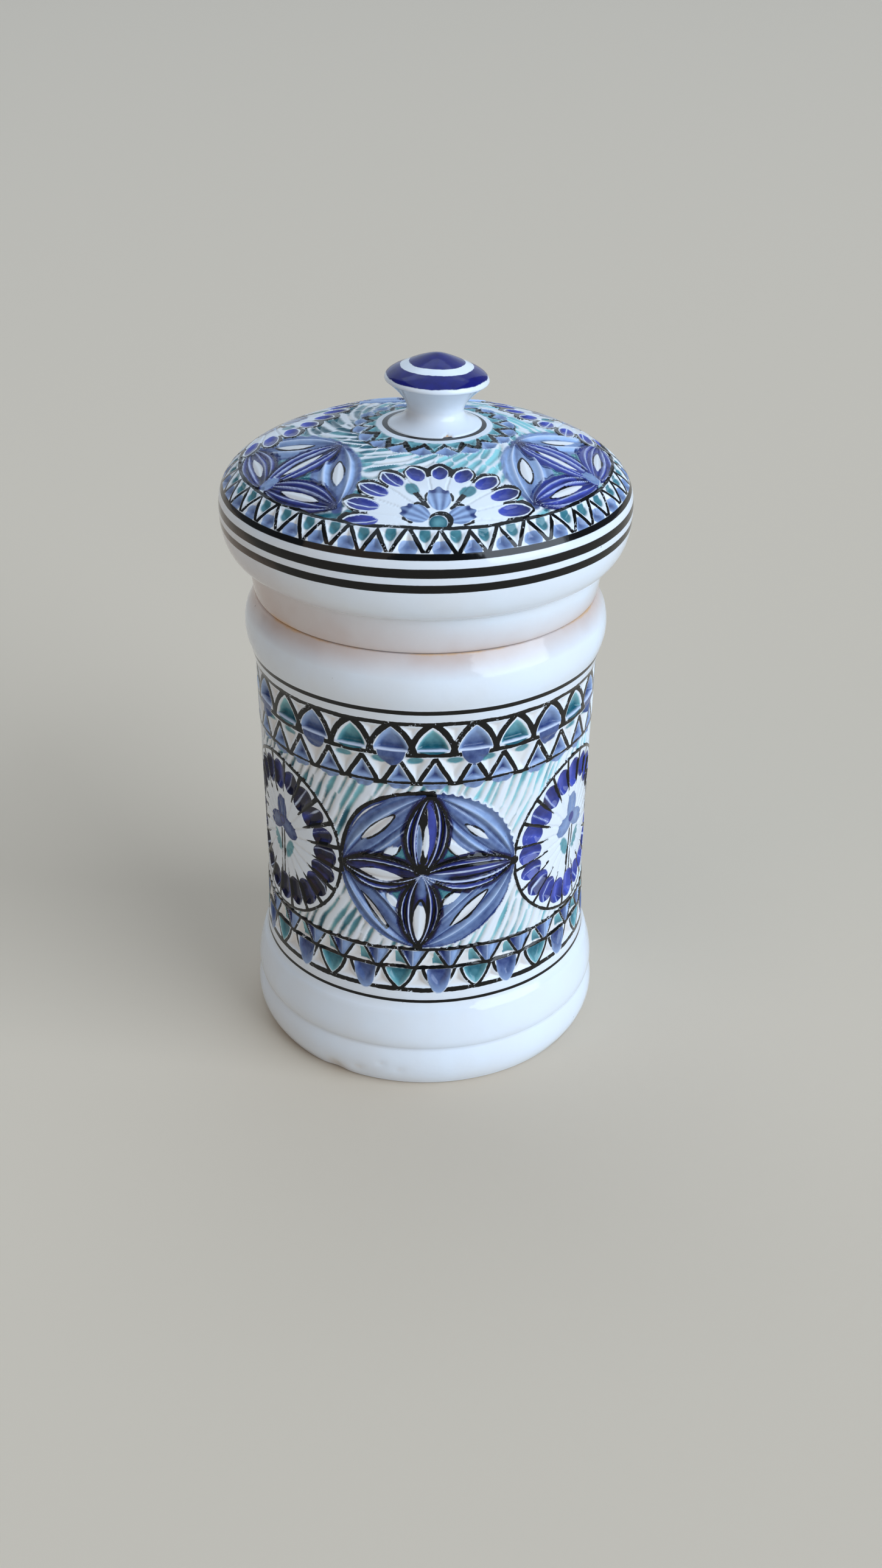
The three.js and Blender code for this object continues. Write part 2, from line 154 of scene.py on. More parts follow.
def contour(shape: Array, offset: float, half_width: Array | float) -> Array:
    """Distance from a line that follows a shape's outline at an offset outside it."""
    return np.abs(shape - offset) - half_width


def stroke(x: Array, y: Array, start: Point, end: Point, half_width: float) -> Array:
    """Distance from a straight brush stroke with round ends.

    Args:
        x: places across.
        y: places up.
        start: where the stroke starts.
        end: where it ends.
        half_width: half of its width.

    Returns:
        The distance at each place.
    """
    run_x, run_y = end[0] - start[0], end[1] - start[1]
    share = ((x - start[0]) * run_x + (y - start[1]) * run_y) / (run_x ** 2 + run_y ** 2)
    share = np.clip(share, 0, 1)
    return np.hypot(x - start[0] - share * run_x, y - start[1] - share * run_y) - half_width


@dataclass(frozen=True)
class Lens:
    """A lens: two arcs that meet at its tips, seen from its start the first on the left."""

    start: Point
    end: Point
    half_width: float
    right_width: float = 0.0
    thinnest: float = 0.01

    @property
    def half_length(self) -> float:
        """Half of the distance between the tips."""
        return math.dist(self.start, self.end) / 2

    def axes(self, x: Array, y: Array) -> tuple[Array, Array, Array, Array]:
        """Measures places from the lens's middle.

        Args:
            x: places across.
            y: places up.

        Returns:
            How far along and across each place lies, the half width on its side, and how far the
            centre of that side's arc lies beyond the axis.
        """
        span = 2 * self.half_length
        run_x, run_y = (self.end[0] - self.start[0]) / span, (self.end[1] - self.start[1]) / span
        from_x, from_y = x - (self.start[0] + self.end[0]) / 2, y - (self.start[1] + self.end[1]) / 2
        left = from_y * run_x - from_x * run_y
        width = np.where(left > 0, self.half_width, self.right_width or self.half_width)
        reach = (self.half_length ** 2 - width ** 2) / (2 * width)
        return np.abs(from_x * run_x + from_y * run_y), np.abs(left), width, reach

    def distance(self, x: Array, y: Array) -> Array:
        """Distance from the lens's outline.

        Args:
            x: places across.
            y: places up.

        Returns:
            The distance at each place.
        """
        along, across, width, reach = self.axes(x, y)
        past_tip = self.half_length * across < reach * (along - self.half_length)
        to_tip = np.hypot(across, along - self.half_length)
        return np.where(past_tip, to_tip, np.hypot(across + reach, along) - reach - width)

    def inward(self, x: Array, y: Array) -> tuple[Array, Array]:
        """Measures places inside, so that lines at one share run from tip to tip.

        Args:
            x: places across.
            y: places up.

        Returns:
            The share of the way in from the edge to the axis, and half of the lens's width there.
        """
        along, across, width, reach = self.axes(x, y)
        here = np.sqrt(np.maximum((reach + width) ** 2 - along ** 2, 0)) - reach
        here = np.maximum(here, self.thinnest)
        return np.clip(1 - across / here, 0, 1), here

    def smaller(self, length: float, width: float) -> Lens:
        """A lens inside this one, at the given shares of its length and width.

        Args:
            length: share of the length.
            width: share of the width.

        Returns:
            The new lens.
        """
        ends = []
        for one, other in ((self.start, self.end), (self.end, self.start)):
            mix = [(m * (1 + length) + n * (1 - length)) / 2 for m, n in zip(one, other)]
            ends.append((mix[0], mix[1]))
        return Lens(ends[0], ends[1], self.half_width * width)


def gable(x: Array, y: Array, width: float, height: float) -> Array:
    """Distance from the two slopes of a gable that stands at y = 0."""
    return (np.abs(x) * height + (y - height) * width / 2) / math.hypot(height, width / 2)


def arch(x: Array, y: Array, width: float, height: float, bow: float = 0.6) -> Array:
    """Distance from the two sides of a pointed arch that stands at y = 0.

    Args:
        x: places across.
        y: places up.
        width: its width at the foot.
        height: its height.
        bow: from 0, straight slopes, to 1, full arcs.

    Returns:
        The distance at each place.
    """
    reach = (height ** 2 - (width / 2) ** 2) / width
    arcs = np.hypot(np.abs(x) + reach, y) - reach - width / 2
    return bow * arcs + (1 - bow) * gable(x, y, width, height)


def travelled(x: Array, y: Array) -> Array:
    """Distance walked along a path, at each of its points."""
    return np.concatenate([[0], np.cumsum(np.hypot(np.diff(x), np.diff(y)))])


def turned(x: Array, y: Array, angle: float) -> tuple[Array, Array]:
    """Gives places seen from axes that are turned clockwise by an angle in degrees."""
    c, s = math.cos(math.radians(angle)), math.sin(math.radians(angle))
    return x * c - y * s, x * s + y * c


class HandNoise:
    """Smooth seeded noise in space, for what a hand does unevenly."""

    SIZE = 256

    def __init__(self, seed: int) -> None:
        """Draws the noise's lattice from a seed.

        Args:
            seed: what it is drawn from.
        """
        draw = np.random.default_rng(seed)
        self.values = draw.uniform(-1, 1, self.SIZE)
        self.order = draw.permutation(self.SIZE)

    def at(self, place: Array, cell: float) -> Array:
        """Samples the noise.

        Args:
            place: points, one row each, in millimetres.
            cell: the noise's grain in millimetres.

        Returns:
            A value from -1 to 1 at each point.
        """
        scaled = place / cell
        base = np.floor(scaled).astype(int)
        part = scaled - base
        part = part * part * (3 - 2 * part)
        total = np.zeros(len(place))
        for corner in np.ndindex(2, 2, 2):
            key = np.zeros(len(place), dtype=int)
            weight = np.ones(len(place))
            for axis in range(3):
                key = self.order[(key + base[:, axis] + corner[axis]) % self.SIZE]
                weight = weight * (part[:, axis] if corner[axis] else 1 - part[:, axis])
            total += weight * self.values[key]
        return total

    def drawn(self, first: Array, second: Array | float = 0.0, third: Array | float = 0.0) -> Array:
        """Samples the noise at plain numbers, such as a stroke's count, instead of a place."""
        keys = np.broadcast_arrays(first, second, third)
        return self.at(np.stack(keys, axis=1), 1.0)


# The skin that the ornament is carved and painted on


class Skin:
    """Points of one glazed surface, with what the carver and the painter did at each.

    Distances are in millimetres. Paint is kept as the distance from the edge of each colour, and
    charge says how thick it lies, from 0 to 1. Ridge runs through 1, 3 and so on along each raised
    edge, and clay is the distance from bare clay, and near a seam from its staining and painted shade.
    """

    DRIFT_CELL = 9.0
    DRIFT = 0.3
    DRIFT_SHIFTS = (0, 50, 90)
    PLAIN_CHARGE = 0.6
    CHARGE_MARGIN = 0.4
    WASH_EDGE = 0.3
    STEADY = 0.8
    # How the seam's staining and painted shade start, spread and break up
    STAIN_SHADE_START = 0.1
    STAIN_SHADE_SPREAD = 0.6
    STAIN_SHADE_CELL = 12.0

    def __init__(self, place: Array, seed: int) -> None:
        """Starts with plain white glaze.

        Args:
            place: the points in millimetres, one row each.
            seed: what the hand's drift is drawn from.
        """
        self.place = place
        self.noise = HandNoise(seed)
        self.draw = np.random.default_rng(seed)
        count = len(place)
        drift = [self.noise.at(place + shift, self.DRIFT_CELL) for shift in self.DRIFT_SHIFTS]
        self.hand = place + np.stack(drift, axis=1) * self.DRIFT
        self.radius = np.hypot(place[:, 0], place[:, 1])
        self.azimuth = np.arctan2(self.hand[:, 0], -self.hand[:, 1])
        self.height = self.hand[:, 2]
        self.level = place[:, 2]
        self.relief = np.zeros(count)
        self.ridge = np.zeros(count)
        self.charge = np.full(count, self.PLAIN_CHARGE)
        self.clay = np.full(count, UNSTAINED_UNSHADED)
        self.paint = {pigment: np.full(count, FAR) for pigment in Pigment}

    @property
    def brush_and_shade_side(self) -> Array:
        """Thicker, darker colour from 1 on the left to -1 on the right: painted shade on the side away from
        the window lamp, along with a fuller brush on the left.
        """
        return -np.sin(self.azimuth)

    def lay(self, pigment: Pigment, shape: Array, charge: Array | float | None = None) -> None:
        """Paints a shape, with the given charge of colour or what is there.

        Args:
            pigment: the colour.
            shape: where it lies.
            charge: how thick it lies.
        """
        self.paint[pigment] = np.minimum(self.paint[pigment], shape)
        if charge is not None:
            self.charge = np.where(shape < self.CHARGE_MARGIN, charge, self.charge)

    def ink(self, shape: Array) -> None:
        """Paints a shape black."""
        self.lay(Pigment.BLACK, shape)

    def lift(self, pigment: Pigment, shape: Array) -> None:
        """Takes one colour off a shape."""
        self.paint[pigment] = np.maximum(self.paint[pigment], -shape)

    def bare(self, shape: Array) -> None:
        """Takes all colours off a shape."""
        for pigment in Pigment:
            self.lift(pigment, shape)

    def clear(self, shape: Array) -> None:
        """Takes all colours, carving and ridges off a shape.

        Args:
            shape: what is cleared.
        """
        self.bare(shape)
        self.relief = np.where(shape < 0, 0, self.relief)
        self.ridge = np.where(shape < 0, 0, self.ridge)

    def over(self, pigment: Pigment, shape: Array, charge: Array | float | None = None) -> None:
        """Paints a shape on top of what is there.

        Args:
            pigment: the colour.
            shape: where it lies.
            charge: how thick it lies.
        """
        for other in Pigment:
            if other is not pigment:
                self.lift(other, shape)
        # Even numbers have no pale crest, so the new colour isn't worn along ridges below it
        self.ridge = np.where(shape < 0, 2 * np.round(self.ridge / 2), self.ridge)
        self.lay(pigment, shape, charge)

    def wash(self, pigment: Pigment, shape: Array, charge: float, reach: float) -> None:
        """Lets a colour bleed over the others, with a soft edge.

        Args:
            pigment: the colour.
            shape: where it bleeds.
            charge: how thick it lies in the middle.
            reach: how far the change spreads to either side of the outline.
        """
        self.lay(pigment, shape - reach)
        for other in Pigment:
            if other is not pigment:
                self.lift(other, shape / reach * self.WASH_EDGE)
        self.charge = charge + (self.charge - charge) * ease(-reach, reach, shape)

    def crease(self, line: Array, shape: Array, reach: float) -> None:
        """Marks a raised edge where the glaze runs thin.

        Args:
            line: distance from the edge, negative on one side of it.
            shape: where the edge shows.
            reach: how far from the edge the mark fades out.
        """
        self.ridge = np.where(shape < 0, np.clip(1 + line / reach, 0, 2), self.ridge)

    def sink(self, depth: Array | float, shape: Array) -> None:
        """Carves a shape down to a depth below the thrown surface."""
        self.relief = np.where(shape < 0, -depth, self.relief)

    def chip(self, facet: Array, slope: float, depth: float) -> None:
        """Cuts a facet that falls from its outline at a slope, down to a depth."""
        self.sink(np.clip(-facet * slope, 0, depth), facet)

    def band(self, height: float, width: float) -> None:
        """Lays a black ring on the turning wheel, which steadies the hand."""
        level = self.level * self.STEADY + self.height * (1 - self.STEADY)
        self.lay(Pigment.BANDING, contour(level, height, width / 2))

    def stain_and_shade_seam(self, seam: Array) -> None:
        """Stains the glaze and lays painted shade on it unevenly, by its distance from a seam."""
        self.clay = seam + self.STAIN_SHADE_START - self.noise.at(self.place, self.STAIN_SHADE_CELL) * self.STAIN_SHADE_SPREAD

    def around(self, count: int, start: float, jitter: float = 0.0) -> Array:
        """Finds each point's place beside the nearest of a ring of motifs.

        Args:
            count: how many motifs go round.
            start: azimuth of the first, in degrees from the front.
            jitter: how far each may stand off its even place, in degrees.

        Returns:
            The distance across from that motif's middle.
        """
        pitch = 2 * math.pi / count
        turn = (self.azimuth - math.radians(start)) / pitch
        index = np.round(turn)
        stray = self.draw.uniform(-1, 1, count) * math.radians(jitter)
        return ((turn - index) * pitch - stray[index.astype(int) % count]) * self.radius


@dataclass(frozen=True)
class PetalStyle:
    """How one kind of petal is cut and painted, by shares of the way in from its edge to its axis.

    Cuts give the relief in millimetres and charges how thick the colour lies. Crests run through
    odd numbers along each raised edge, and dark lists where black bands start and end.
    """

    pigment: Pigment
    edge_line: float
    eye_line: float
    cuts: tuple[Point, ...]
    charges: tuple[Point, ...]
    crests: tuple[Point, ...]
    dark: tuple[Point, ...] = ()
    taper: Point = (0.1, 0.8)
    bleed: float = 0.3
    streaks: float = 7.0
    streak_length: float = 9.0
    streak_load: float = 0.2
    # How much thicker the colour lies on the left: painted shade, along with a fuller brush
    brush_and_shade_load: float = 0.14
    edge_inset: float = 0.1
    eye_gap: float = 0.2
    eye_breaks: Point = (1.2, 0.35)
    eye_break_cell: float = 7.0

    def apply(self, skin: Skin, petal: Lens, x: Array, y: Array, limit: Array, eye: Lens | None) -> None:
        """Carves and paints one petal.

        Args:
            skin: the surface.
            petal: the petal's outline.
            x: places across.
            y: places up.
            limit: distance from the edge of the ground that the petal may cover.
            eye: the white opening in its middle, if it has one.
        """
        shape = meet(petal.distance(x, y), limit)
        skin.clear(shape)
        share, width = petal.inward(x, y)
        taper = ease(*self.taper, width / petal.half_width)
        skin.sink(-np.interp(share, *zip(*self.cuts)) * taper, shape)
        skin.ridge = np.where(shape < 0, np.interp(share, *zip(*self.crests)), skin.ridge)
        brush = skin.noise.drawn(share * self.streaks, x / self.streak_length, y / self.streak_length)
        thin = 1 - np.interp(share, *zip(*self.charges)) + self.streak_load * brush
        # The colour lies thicker on the left as painted shade, along with a fuller brush
        skin.lay(self.pigment, shape - self.bleed, 1 - thin * taper + self.brush_and_shade_load * skin.brush_and_shade_side)
        for start, end in self.dark:
            skin.ink(meet(np.maximum(start - share, share - end) * width, shape))
        if eye:
            hole = meet(eye.distance(x, y), limit)
            patchy = skin.noise.at(skin.place, self.eye_break_cell) * self.eye_breaks[0] - self.eye_breaks[1]
            skin.ink(meet(contour(hole, self.eye_gap, self.eye_line), patchy))
            skin.bare(hole)
        if self.edge_line:
            skin.ink(contour(shape, -self.edge_inset, self.edge_line / 2))


COBALT_PETAL = PetalStyle(
    Pigment.COBALT, edge_line=1.1, eye_line=0.5,
    cuts=((0, 0.0), (0.1, 0.3), (0.27, -1.2), (0.44, 0.2), (0.56, -1.1), (0.72, -0.5), (1, -0.2)),
    charges=((0, 1.0), (0.12, 0.5), (0.26, 1.0), (0.36, 0.8), (0.43, 0.3), (0.5, 1.0), (1, 0.7)),
    crests=((0, 0), (0.03, 0), (0.1, 1), (0.17, 2), (0.37, 2), (0.44, 3), (0.51, 4), (1, 4)),
    dark=((0.2, 0.32), (0.49, 0.66)))
RIBBED_PETAL = replace(
    COBALT_PETAL,
    crests=((0, 0), (0.03, 0), (0.1, 1), (0.17, 2), (0.38, 2), (0.46, 3), (0.54, 4), (0.88, 4), (1, 5)),
    dark=((0.22, 0.3), (0.58, 0.76)))
BLUE_LENS = PetalStyle(
    Pigment.BLUE, edge_line=0.0, eye_line=0.45,
    cuts=((0, -0.2), (0.2, -1.2), (0.44, 0.4), (0.62, -1.4), (0.8, -0.6), (1, -0.3)),
    charges=((0, 0.75), (0.07, 0.62), (0.2, 0.66), (0.33, 0.42), (0.44, 0.1), (0.54, 0.5), (0.64, 0.95),
             (0.74, 0.4), (0.84, 0.75), (1, 0.7)),
    crests=((0, 0), (0.34, 0), (0.44, 0.68), (0.54, 0), (0.68, 0), (0.74, 0.6), (0.8, 0), (1, 0)))
LID_PETAL = PetalStyle(
    Pigment.COBALT, edge_line=0.0, eye_line=0.4,
    cuts=((0, 0.0), (0.14, -0.7), (0.3, 0.3), (0.48, -0.9), (0.64, 0.1), (0.76, -0.9), (1, -0.4)),
    charges=((0, 0.85), (0.1, 0.7), (0.2, 0.45), (0.3, 0.3), (0.4, 0.5), (0.48, 0.85), (0.56, 0.5),
             (0.66, 0.3), (0.78, 0.75), (1, 0.7)),
    crests=((0, 0), (0.16, 0), (0.3, 0.76), (0.44, 0), (0.53, 0), (0.66, 0.76), (0.79, 0), (1, 0)))
LID_LENS = PetalStyle(
    Pigment.BLUE, edge_line=0.0, eye_line=0.5,
    cuts=((0, -0.2), (0.2, -0.9), (0.42, 0.3), (0.62, -1.0), (1, -0.4)),
    charges=((0, 0.6), (0.16, 0.35), (0.3, 0.15), (0.42, 0.0), (0.54, 0.15), (0.68, 0.55), (1, 0.7)),
    crests=((0, 0), (0.22, 0), (0.42, 0.8), (0.6, 0), (1, 0)))


# Ornament of the jar


@dataclass(frozen=True)
class ScalePaint:
    """How one colour of scale is filled, and the drop of colour that hangs under its foot."""

    pigment: Pigment
    inset: float
    load: float
    drop: Point
    bared: Point
    drop_charge: float


@dataclass
class ScaleBand:
    """The band under the shoulder: a row of pointed scales over a row of small gables."""

    top: float = 143.6
    middle: float = 132.2
    bottom: float = 121.5
    line: float = 1.6
    stray: float = 0.8
    scales: int = 26
    scale_start: float = 3.3
    scale_width: float = 12.4
    scale_foot: float = 133.8
    scale_rise: float = 8.7
    scale_depth: float = 2.2
    scale_tilt: float = 0.8
    side_bevel: float = 2.6
    foot_bevel: float = 0.8
    sill_ends: Point = (0.6, 0.9)
    sill_wear: float = 0.7
    outline: float = 1.0
    outline_ends: Point = (1.4, 0.8)
    fade: Point = (1.05, 0.95)
    fade_edge: Point = (-0.3, 2.4)
    thinnest: float = 0.1
    paints: tuple[ScalePaint, ...] = (
        ScalePaint(Pigment.TURQUOISE, inset=0.8, load=0.9, drop=(4.6, 2.4), bared=(4.3, 1.3),
                   drop_charge=0.95),
        ScalePaint(Pigment.BLUE, inset=0.2, load=0.8, drop=(4.8, 5.6), bared=(4.8, 5.6),
                   drop_charge=0.85))
    gables: int = 30
    gable_start: float = 3.4
    gable_stray: float = 1.1
    gable_width: float = 8.0
    gable_rise: float = 6.8
    gable_depth: float = 1.3
    gable_line: Point = (0.9, 0.8)
    gable_line_ends: Point = (2.0, 1.0)
    gable_inset: float = 0.1
    gable_fade: float = 2.0
    gable_load: Point = (0.05, 0.95)
    drop: Point = (4.0, 2.6)
    drop_fall: Point = (0.6, 0.9)
    spot: Point = (2.9, 1.5)
    spot_fall: float = 2.3
    chip_slope: float = 0.5
    chip_depth: float = 1.1
    chip_head: float = 0.9
    chip_peak: float = 2.0
    scale_chip: Point = (1.9, 0.5)
    gable_chip: Point = (1.8, 0.4)

    def carve(self, skin: Skin) -> None:
        """Carves and paints the whole band.

        Args:
            skin: the surface.
        """
        for edge in (self.top, self.middle, self.bottom):
            skin.ink(contour(skin.height, edge, self.line / 2))
        self.carve_gables(skin)
        self.carve_scales(skin)

    def carve_scales(self, skin: Skin) -> None:
        """Carves the upper row, turquoise and blue by turns.

        Args:
            skin: the surface.
        """
        up = skin.height - self.scale_foot
        rise = up / self.scale_rise
        slope = np.clip(1 - self.scale_tilt * rise, 0, 1)
        nearest = np.full(len(up), FAR)
        for place, paint in enumerate(self.paints):
            across = skin.around(self.scales // 2, self.scale_start + place * 360 / self.scales, self.stray)
            sides = arch(across, up, self.scale_width, self.scale_rise)
            nearest = np.minimum(nearest, sides)
            bevels = ease(0, self.side_bevel, -sides), ease(0, self.foot_bevel, up)
            skin.sink(self.scale_depth * slope * bevels[0] * bevels[1], meet(sides, -up))
            sill = meet(sides - self.sill_ends[0], -up - self.sill_ends[1])
            skin.crease(up, sill, self.sill_wear)
            ring = meet(contour(sides, self.outline, self.outline), -up - self.outline_ends[0])
            skin.ink(meet(ring, up - self.scale_rise - self.outline_ends[1]))
            fade = np.clip(self.fade[0] - self.fade[1] * rise, 0, 1) * ease(*self.fade_edge, -sides)
            skin.lift(Pigment.BLACK, meet(oval(across, up, *paint.bared), up))
            fill = meet(sides + paint.inset, -up)
            skin.lay(paint.pigment, fill, self.thinnest + paint.load * fade)
            skin.lay(paint.pigment, meet(oval(across, up, *paint.drop), up), paint.drop_charge)
        chip = np.minimum(nearest - self.scale_chip[0], self.top - self.chip_head - skin.height)
        chip = np.minimum(chip, up - self.scale_chip[1])
        row = up - self.scale_rise - self.chip_peak
        skin.sink(np.clip(chip * self.chip_slope, 0, self.chip_depth), meet(-chip, row))

    def carve_gables(self, skin: Skin) -> None:
        """Carves the lower row of blue gables, with white chips hanging between them.

        Args:
            skin: the surface.
        """
        up = skin.height - self.bottom - self.line / 2
        across = skin.around(self.gables, self.gable_start, self.gable_stray)
        sides = gable(across, up, self.gable_width, self.gable_rise)
        pocket = meet(sides, -up)
        skin.chip(pocket, self.chip_slope, self.gable_depth)
        row = meet(up - self.gable_rise - self.gable_line_ends[0], -up - self.gable_line_ends[1])
        skin.ink(meet(contour(sides, *self.gable_line), row))
        drop = meet(oval(across, up + self.drop_fall[0], *self.drop), up)
        skin.lift(Pigment.BLACK, meet(drop, up + self.drop_fall[1]))
        fill = meet(sides + self.gable_inset, -up)
        skin.lay(Pigment.BLUE, fill, np.clip(-pocket / self.gable_fade, *self.gable_load))
        skin.lay(Pigment.BLUE, drop, charge=0.45)
        head = self.middle - self.chip_head - skin.height
        chip = np.minimum(sides - self.gable_chip[0], np.minimum(head, up - self.gable_chip[1]))
        skin.chip(-chip, self.chip_slope, self.chip_depth)
        between = skin.around(self.gables, self.gable_start + 180 / self.gables, self.stray)
        spot = oval(between, skin.height - self.middle + self.spot_fall, *self.spot)
        skin.lay(Pigment.TURQUOISE, spot, charge=0.65)


@dataclass
class FacetBand:
    """The band over the foot: a row of blue wedges over a row of hanging scales."""

    top: float = 55.9
    middle: float = 48.5
    bottom: float = 39.4
    line: float = 1.2
    bottom_line: float = 1.8
    count: int = 28
    start: float = 9.5
    stray: float = 1.0
    wedge_width: float = 9.0
    wedge_drop: float = 7.6
    wedge_slope: float = 0.4
    wedge_depth: float = 1.4
    wedge_bevel: float = 0.5
    wedge_line: Point = (0.4, 0.5)
    wedge_inset: float = 0.1
    # Load in the wedge's middle, and how fast it falls to the right: painted shade on the left facet, painted
    # light on the right
    wedge_load_and_shade: Point = (0.55, 0.22)
    wedge_thinnest: float = 0.1
    rib: float = 0.66
    facet_edges: Point = (0.5, 0.2)
    facet_inset: float = 0.4
    facet_drop: float = 5.6
    facet_load: Point = (0.15, 0.12)
    scale_start: float = 4.7
    scale_stray: float = 1.2
    scale_width: float = 9.6
    scale_drop: float = 7.8
    scale_depth: float = 1.7
    scale_tilt: float = 0.7
    side_bevel: float = 2.0
    head_bevel: float = 0.6
    outline: float = 0.6
    scale_inset: float = 0.2
    tongue: Point = (4.1, 9.0)
    tongue_fall: float = 0.8
    fade_edge: Point = (-0.4, 1.8)
    fade_down: float = 0.04
    edge_load: float = 0.5
    chip_slope: float = 0.5
    chip_depth: float = 1.1
    chip_edges: Trio = (1.0, 0.3, 0.9)

    def carve(self, skin: Skin) -> None:
        """Carves and paints the whole band.

        Args:
            skin: the surface.
        """
        lines = (self.top, self.line), (self.middle, self.line), (self.bottom, self.bottom_line)
        for edge, width in lines:
            skin.ink(contour(skin.height, edge, width / 2))
        self.carve_wedges(skin)
        self.carve_scales(skin)

    def carve_wedges(self, skin: Skin) -> None:
        """Carves the upper row: blue wedges with a sharp rib, turquoise and white facets between.

        Args:
            skin: the surface.
        """
        down = self.top - self.line / 2 - skin.height
        across = skin.around(self.count, self.start, self.stray)
        sides = gable(across, down, self.wedge_width, self.wedge_drop)
        row = meet(-down, down - self.wedge_drop)
        wedge = meet(sides, row)
        between = meet(-sides + self.facet_edges[0], row, -down + self.facet_edges[1])
        fall = np.clip(np.abs(across) * self.wedge_slope, 0, self.wedge_depth)
        skin.sink(fall * ease(0, self.wedge_bevel, -wedge), wedge)
        skin.chip(between, self.chip_slope, self.chip_depth)
        skin.ink(meet(contour(sides, *self.wedge_line), row))
        # Painted shade and light: the left facet lies darker and the right facet lighter, as the window lamp
        # falls from the right
        load = self.wedge_load_and_shade[0] - self.wedge_load_and_shade[1] * across
        skin.lay(Pigment.BLUE, wedge + self.wedge_inset, np.clip(load, self.wedge_thinnest, 1))
        facet = meet(between + self.facet_inset, across, down - self.facet_drop)
        load = self.facet_load[0] + self.facet_load[1] * down
        skin.lay(Pigment.TURQUOISE, facet, np.clip(load, 0, 1))
        skin.ridge = np.where(wedge < 0, np.maximum(self.rib - np.abs(across), 0), skin.ridge)

    def carve_scales(self, skin: Skin) -> None:
        """Carves the lower row of hanging scales, blue and turquoise by turns.

        Args:
            skin: the surface.
        """
        down = self.middle - self.line / 2 - skin.height
        slope = np.clip(1 - self.scale_tilt * down / self.scale_drop, 0, 1)
        nearest = np.full(len(down), FAR)
        for place, pigment in enumerate((Pigment.BLUE, Pigment.TURQUOISE)):
            start = self.scale_start + place * 360 / self.count
            across = skin.around(self.count // 2, start, self.scale_stray)
            sides = arch(across, down, self.scale_width, self.scale_drop)
            nearest = np.minimum(nearest, sides)
            bevels = ease(0, self.side_bevel, -sides), ease(0, self.head_bevel, down)
            skin.sink(self.scale_depth * slope * bevels[0] * bevels[1], meet(sides, -down))
            ring = meet(contour(sides, self.outline, self.outline), -down)
            skin.ink(meet(ring, down - self.scale_drop - self.outline))
            fill = meet(sides + self.scale_inset, -down)
            if pigment is Pigment.BLUE:
                fill = meet(oval(across, down - self.tongue_fall, *self.tongue), -down)
                skin.lift(Pigment.BLACK, fill)
            edge = self.edge_load + (1 - self.edge_load) * ease(*self.fade_edge, -fill)
            skin.lay(pigment, fill, (1.0 - self.fade_down * down) * edge)
        side, head, foot = self.chip_edges
        chip = np.minimum(nearest - side, np.minimum(down - head, skin.height - self.bottom - foot))
        skin.chip(-chip, self.chip_slope, self.chip_depth)


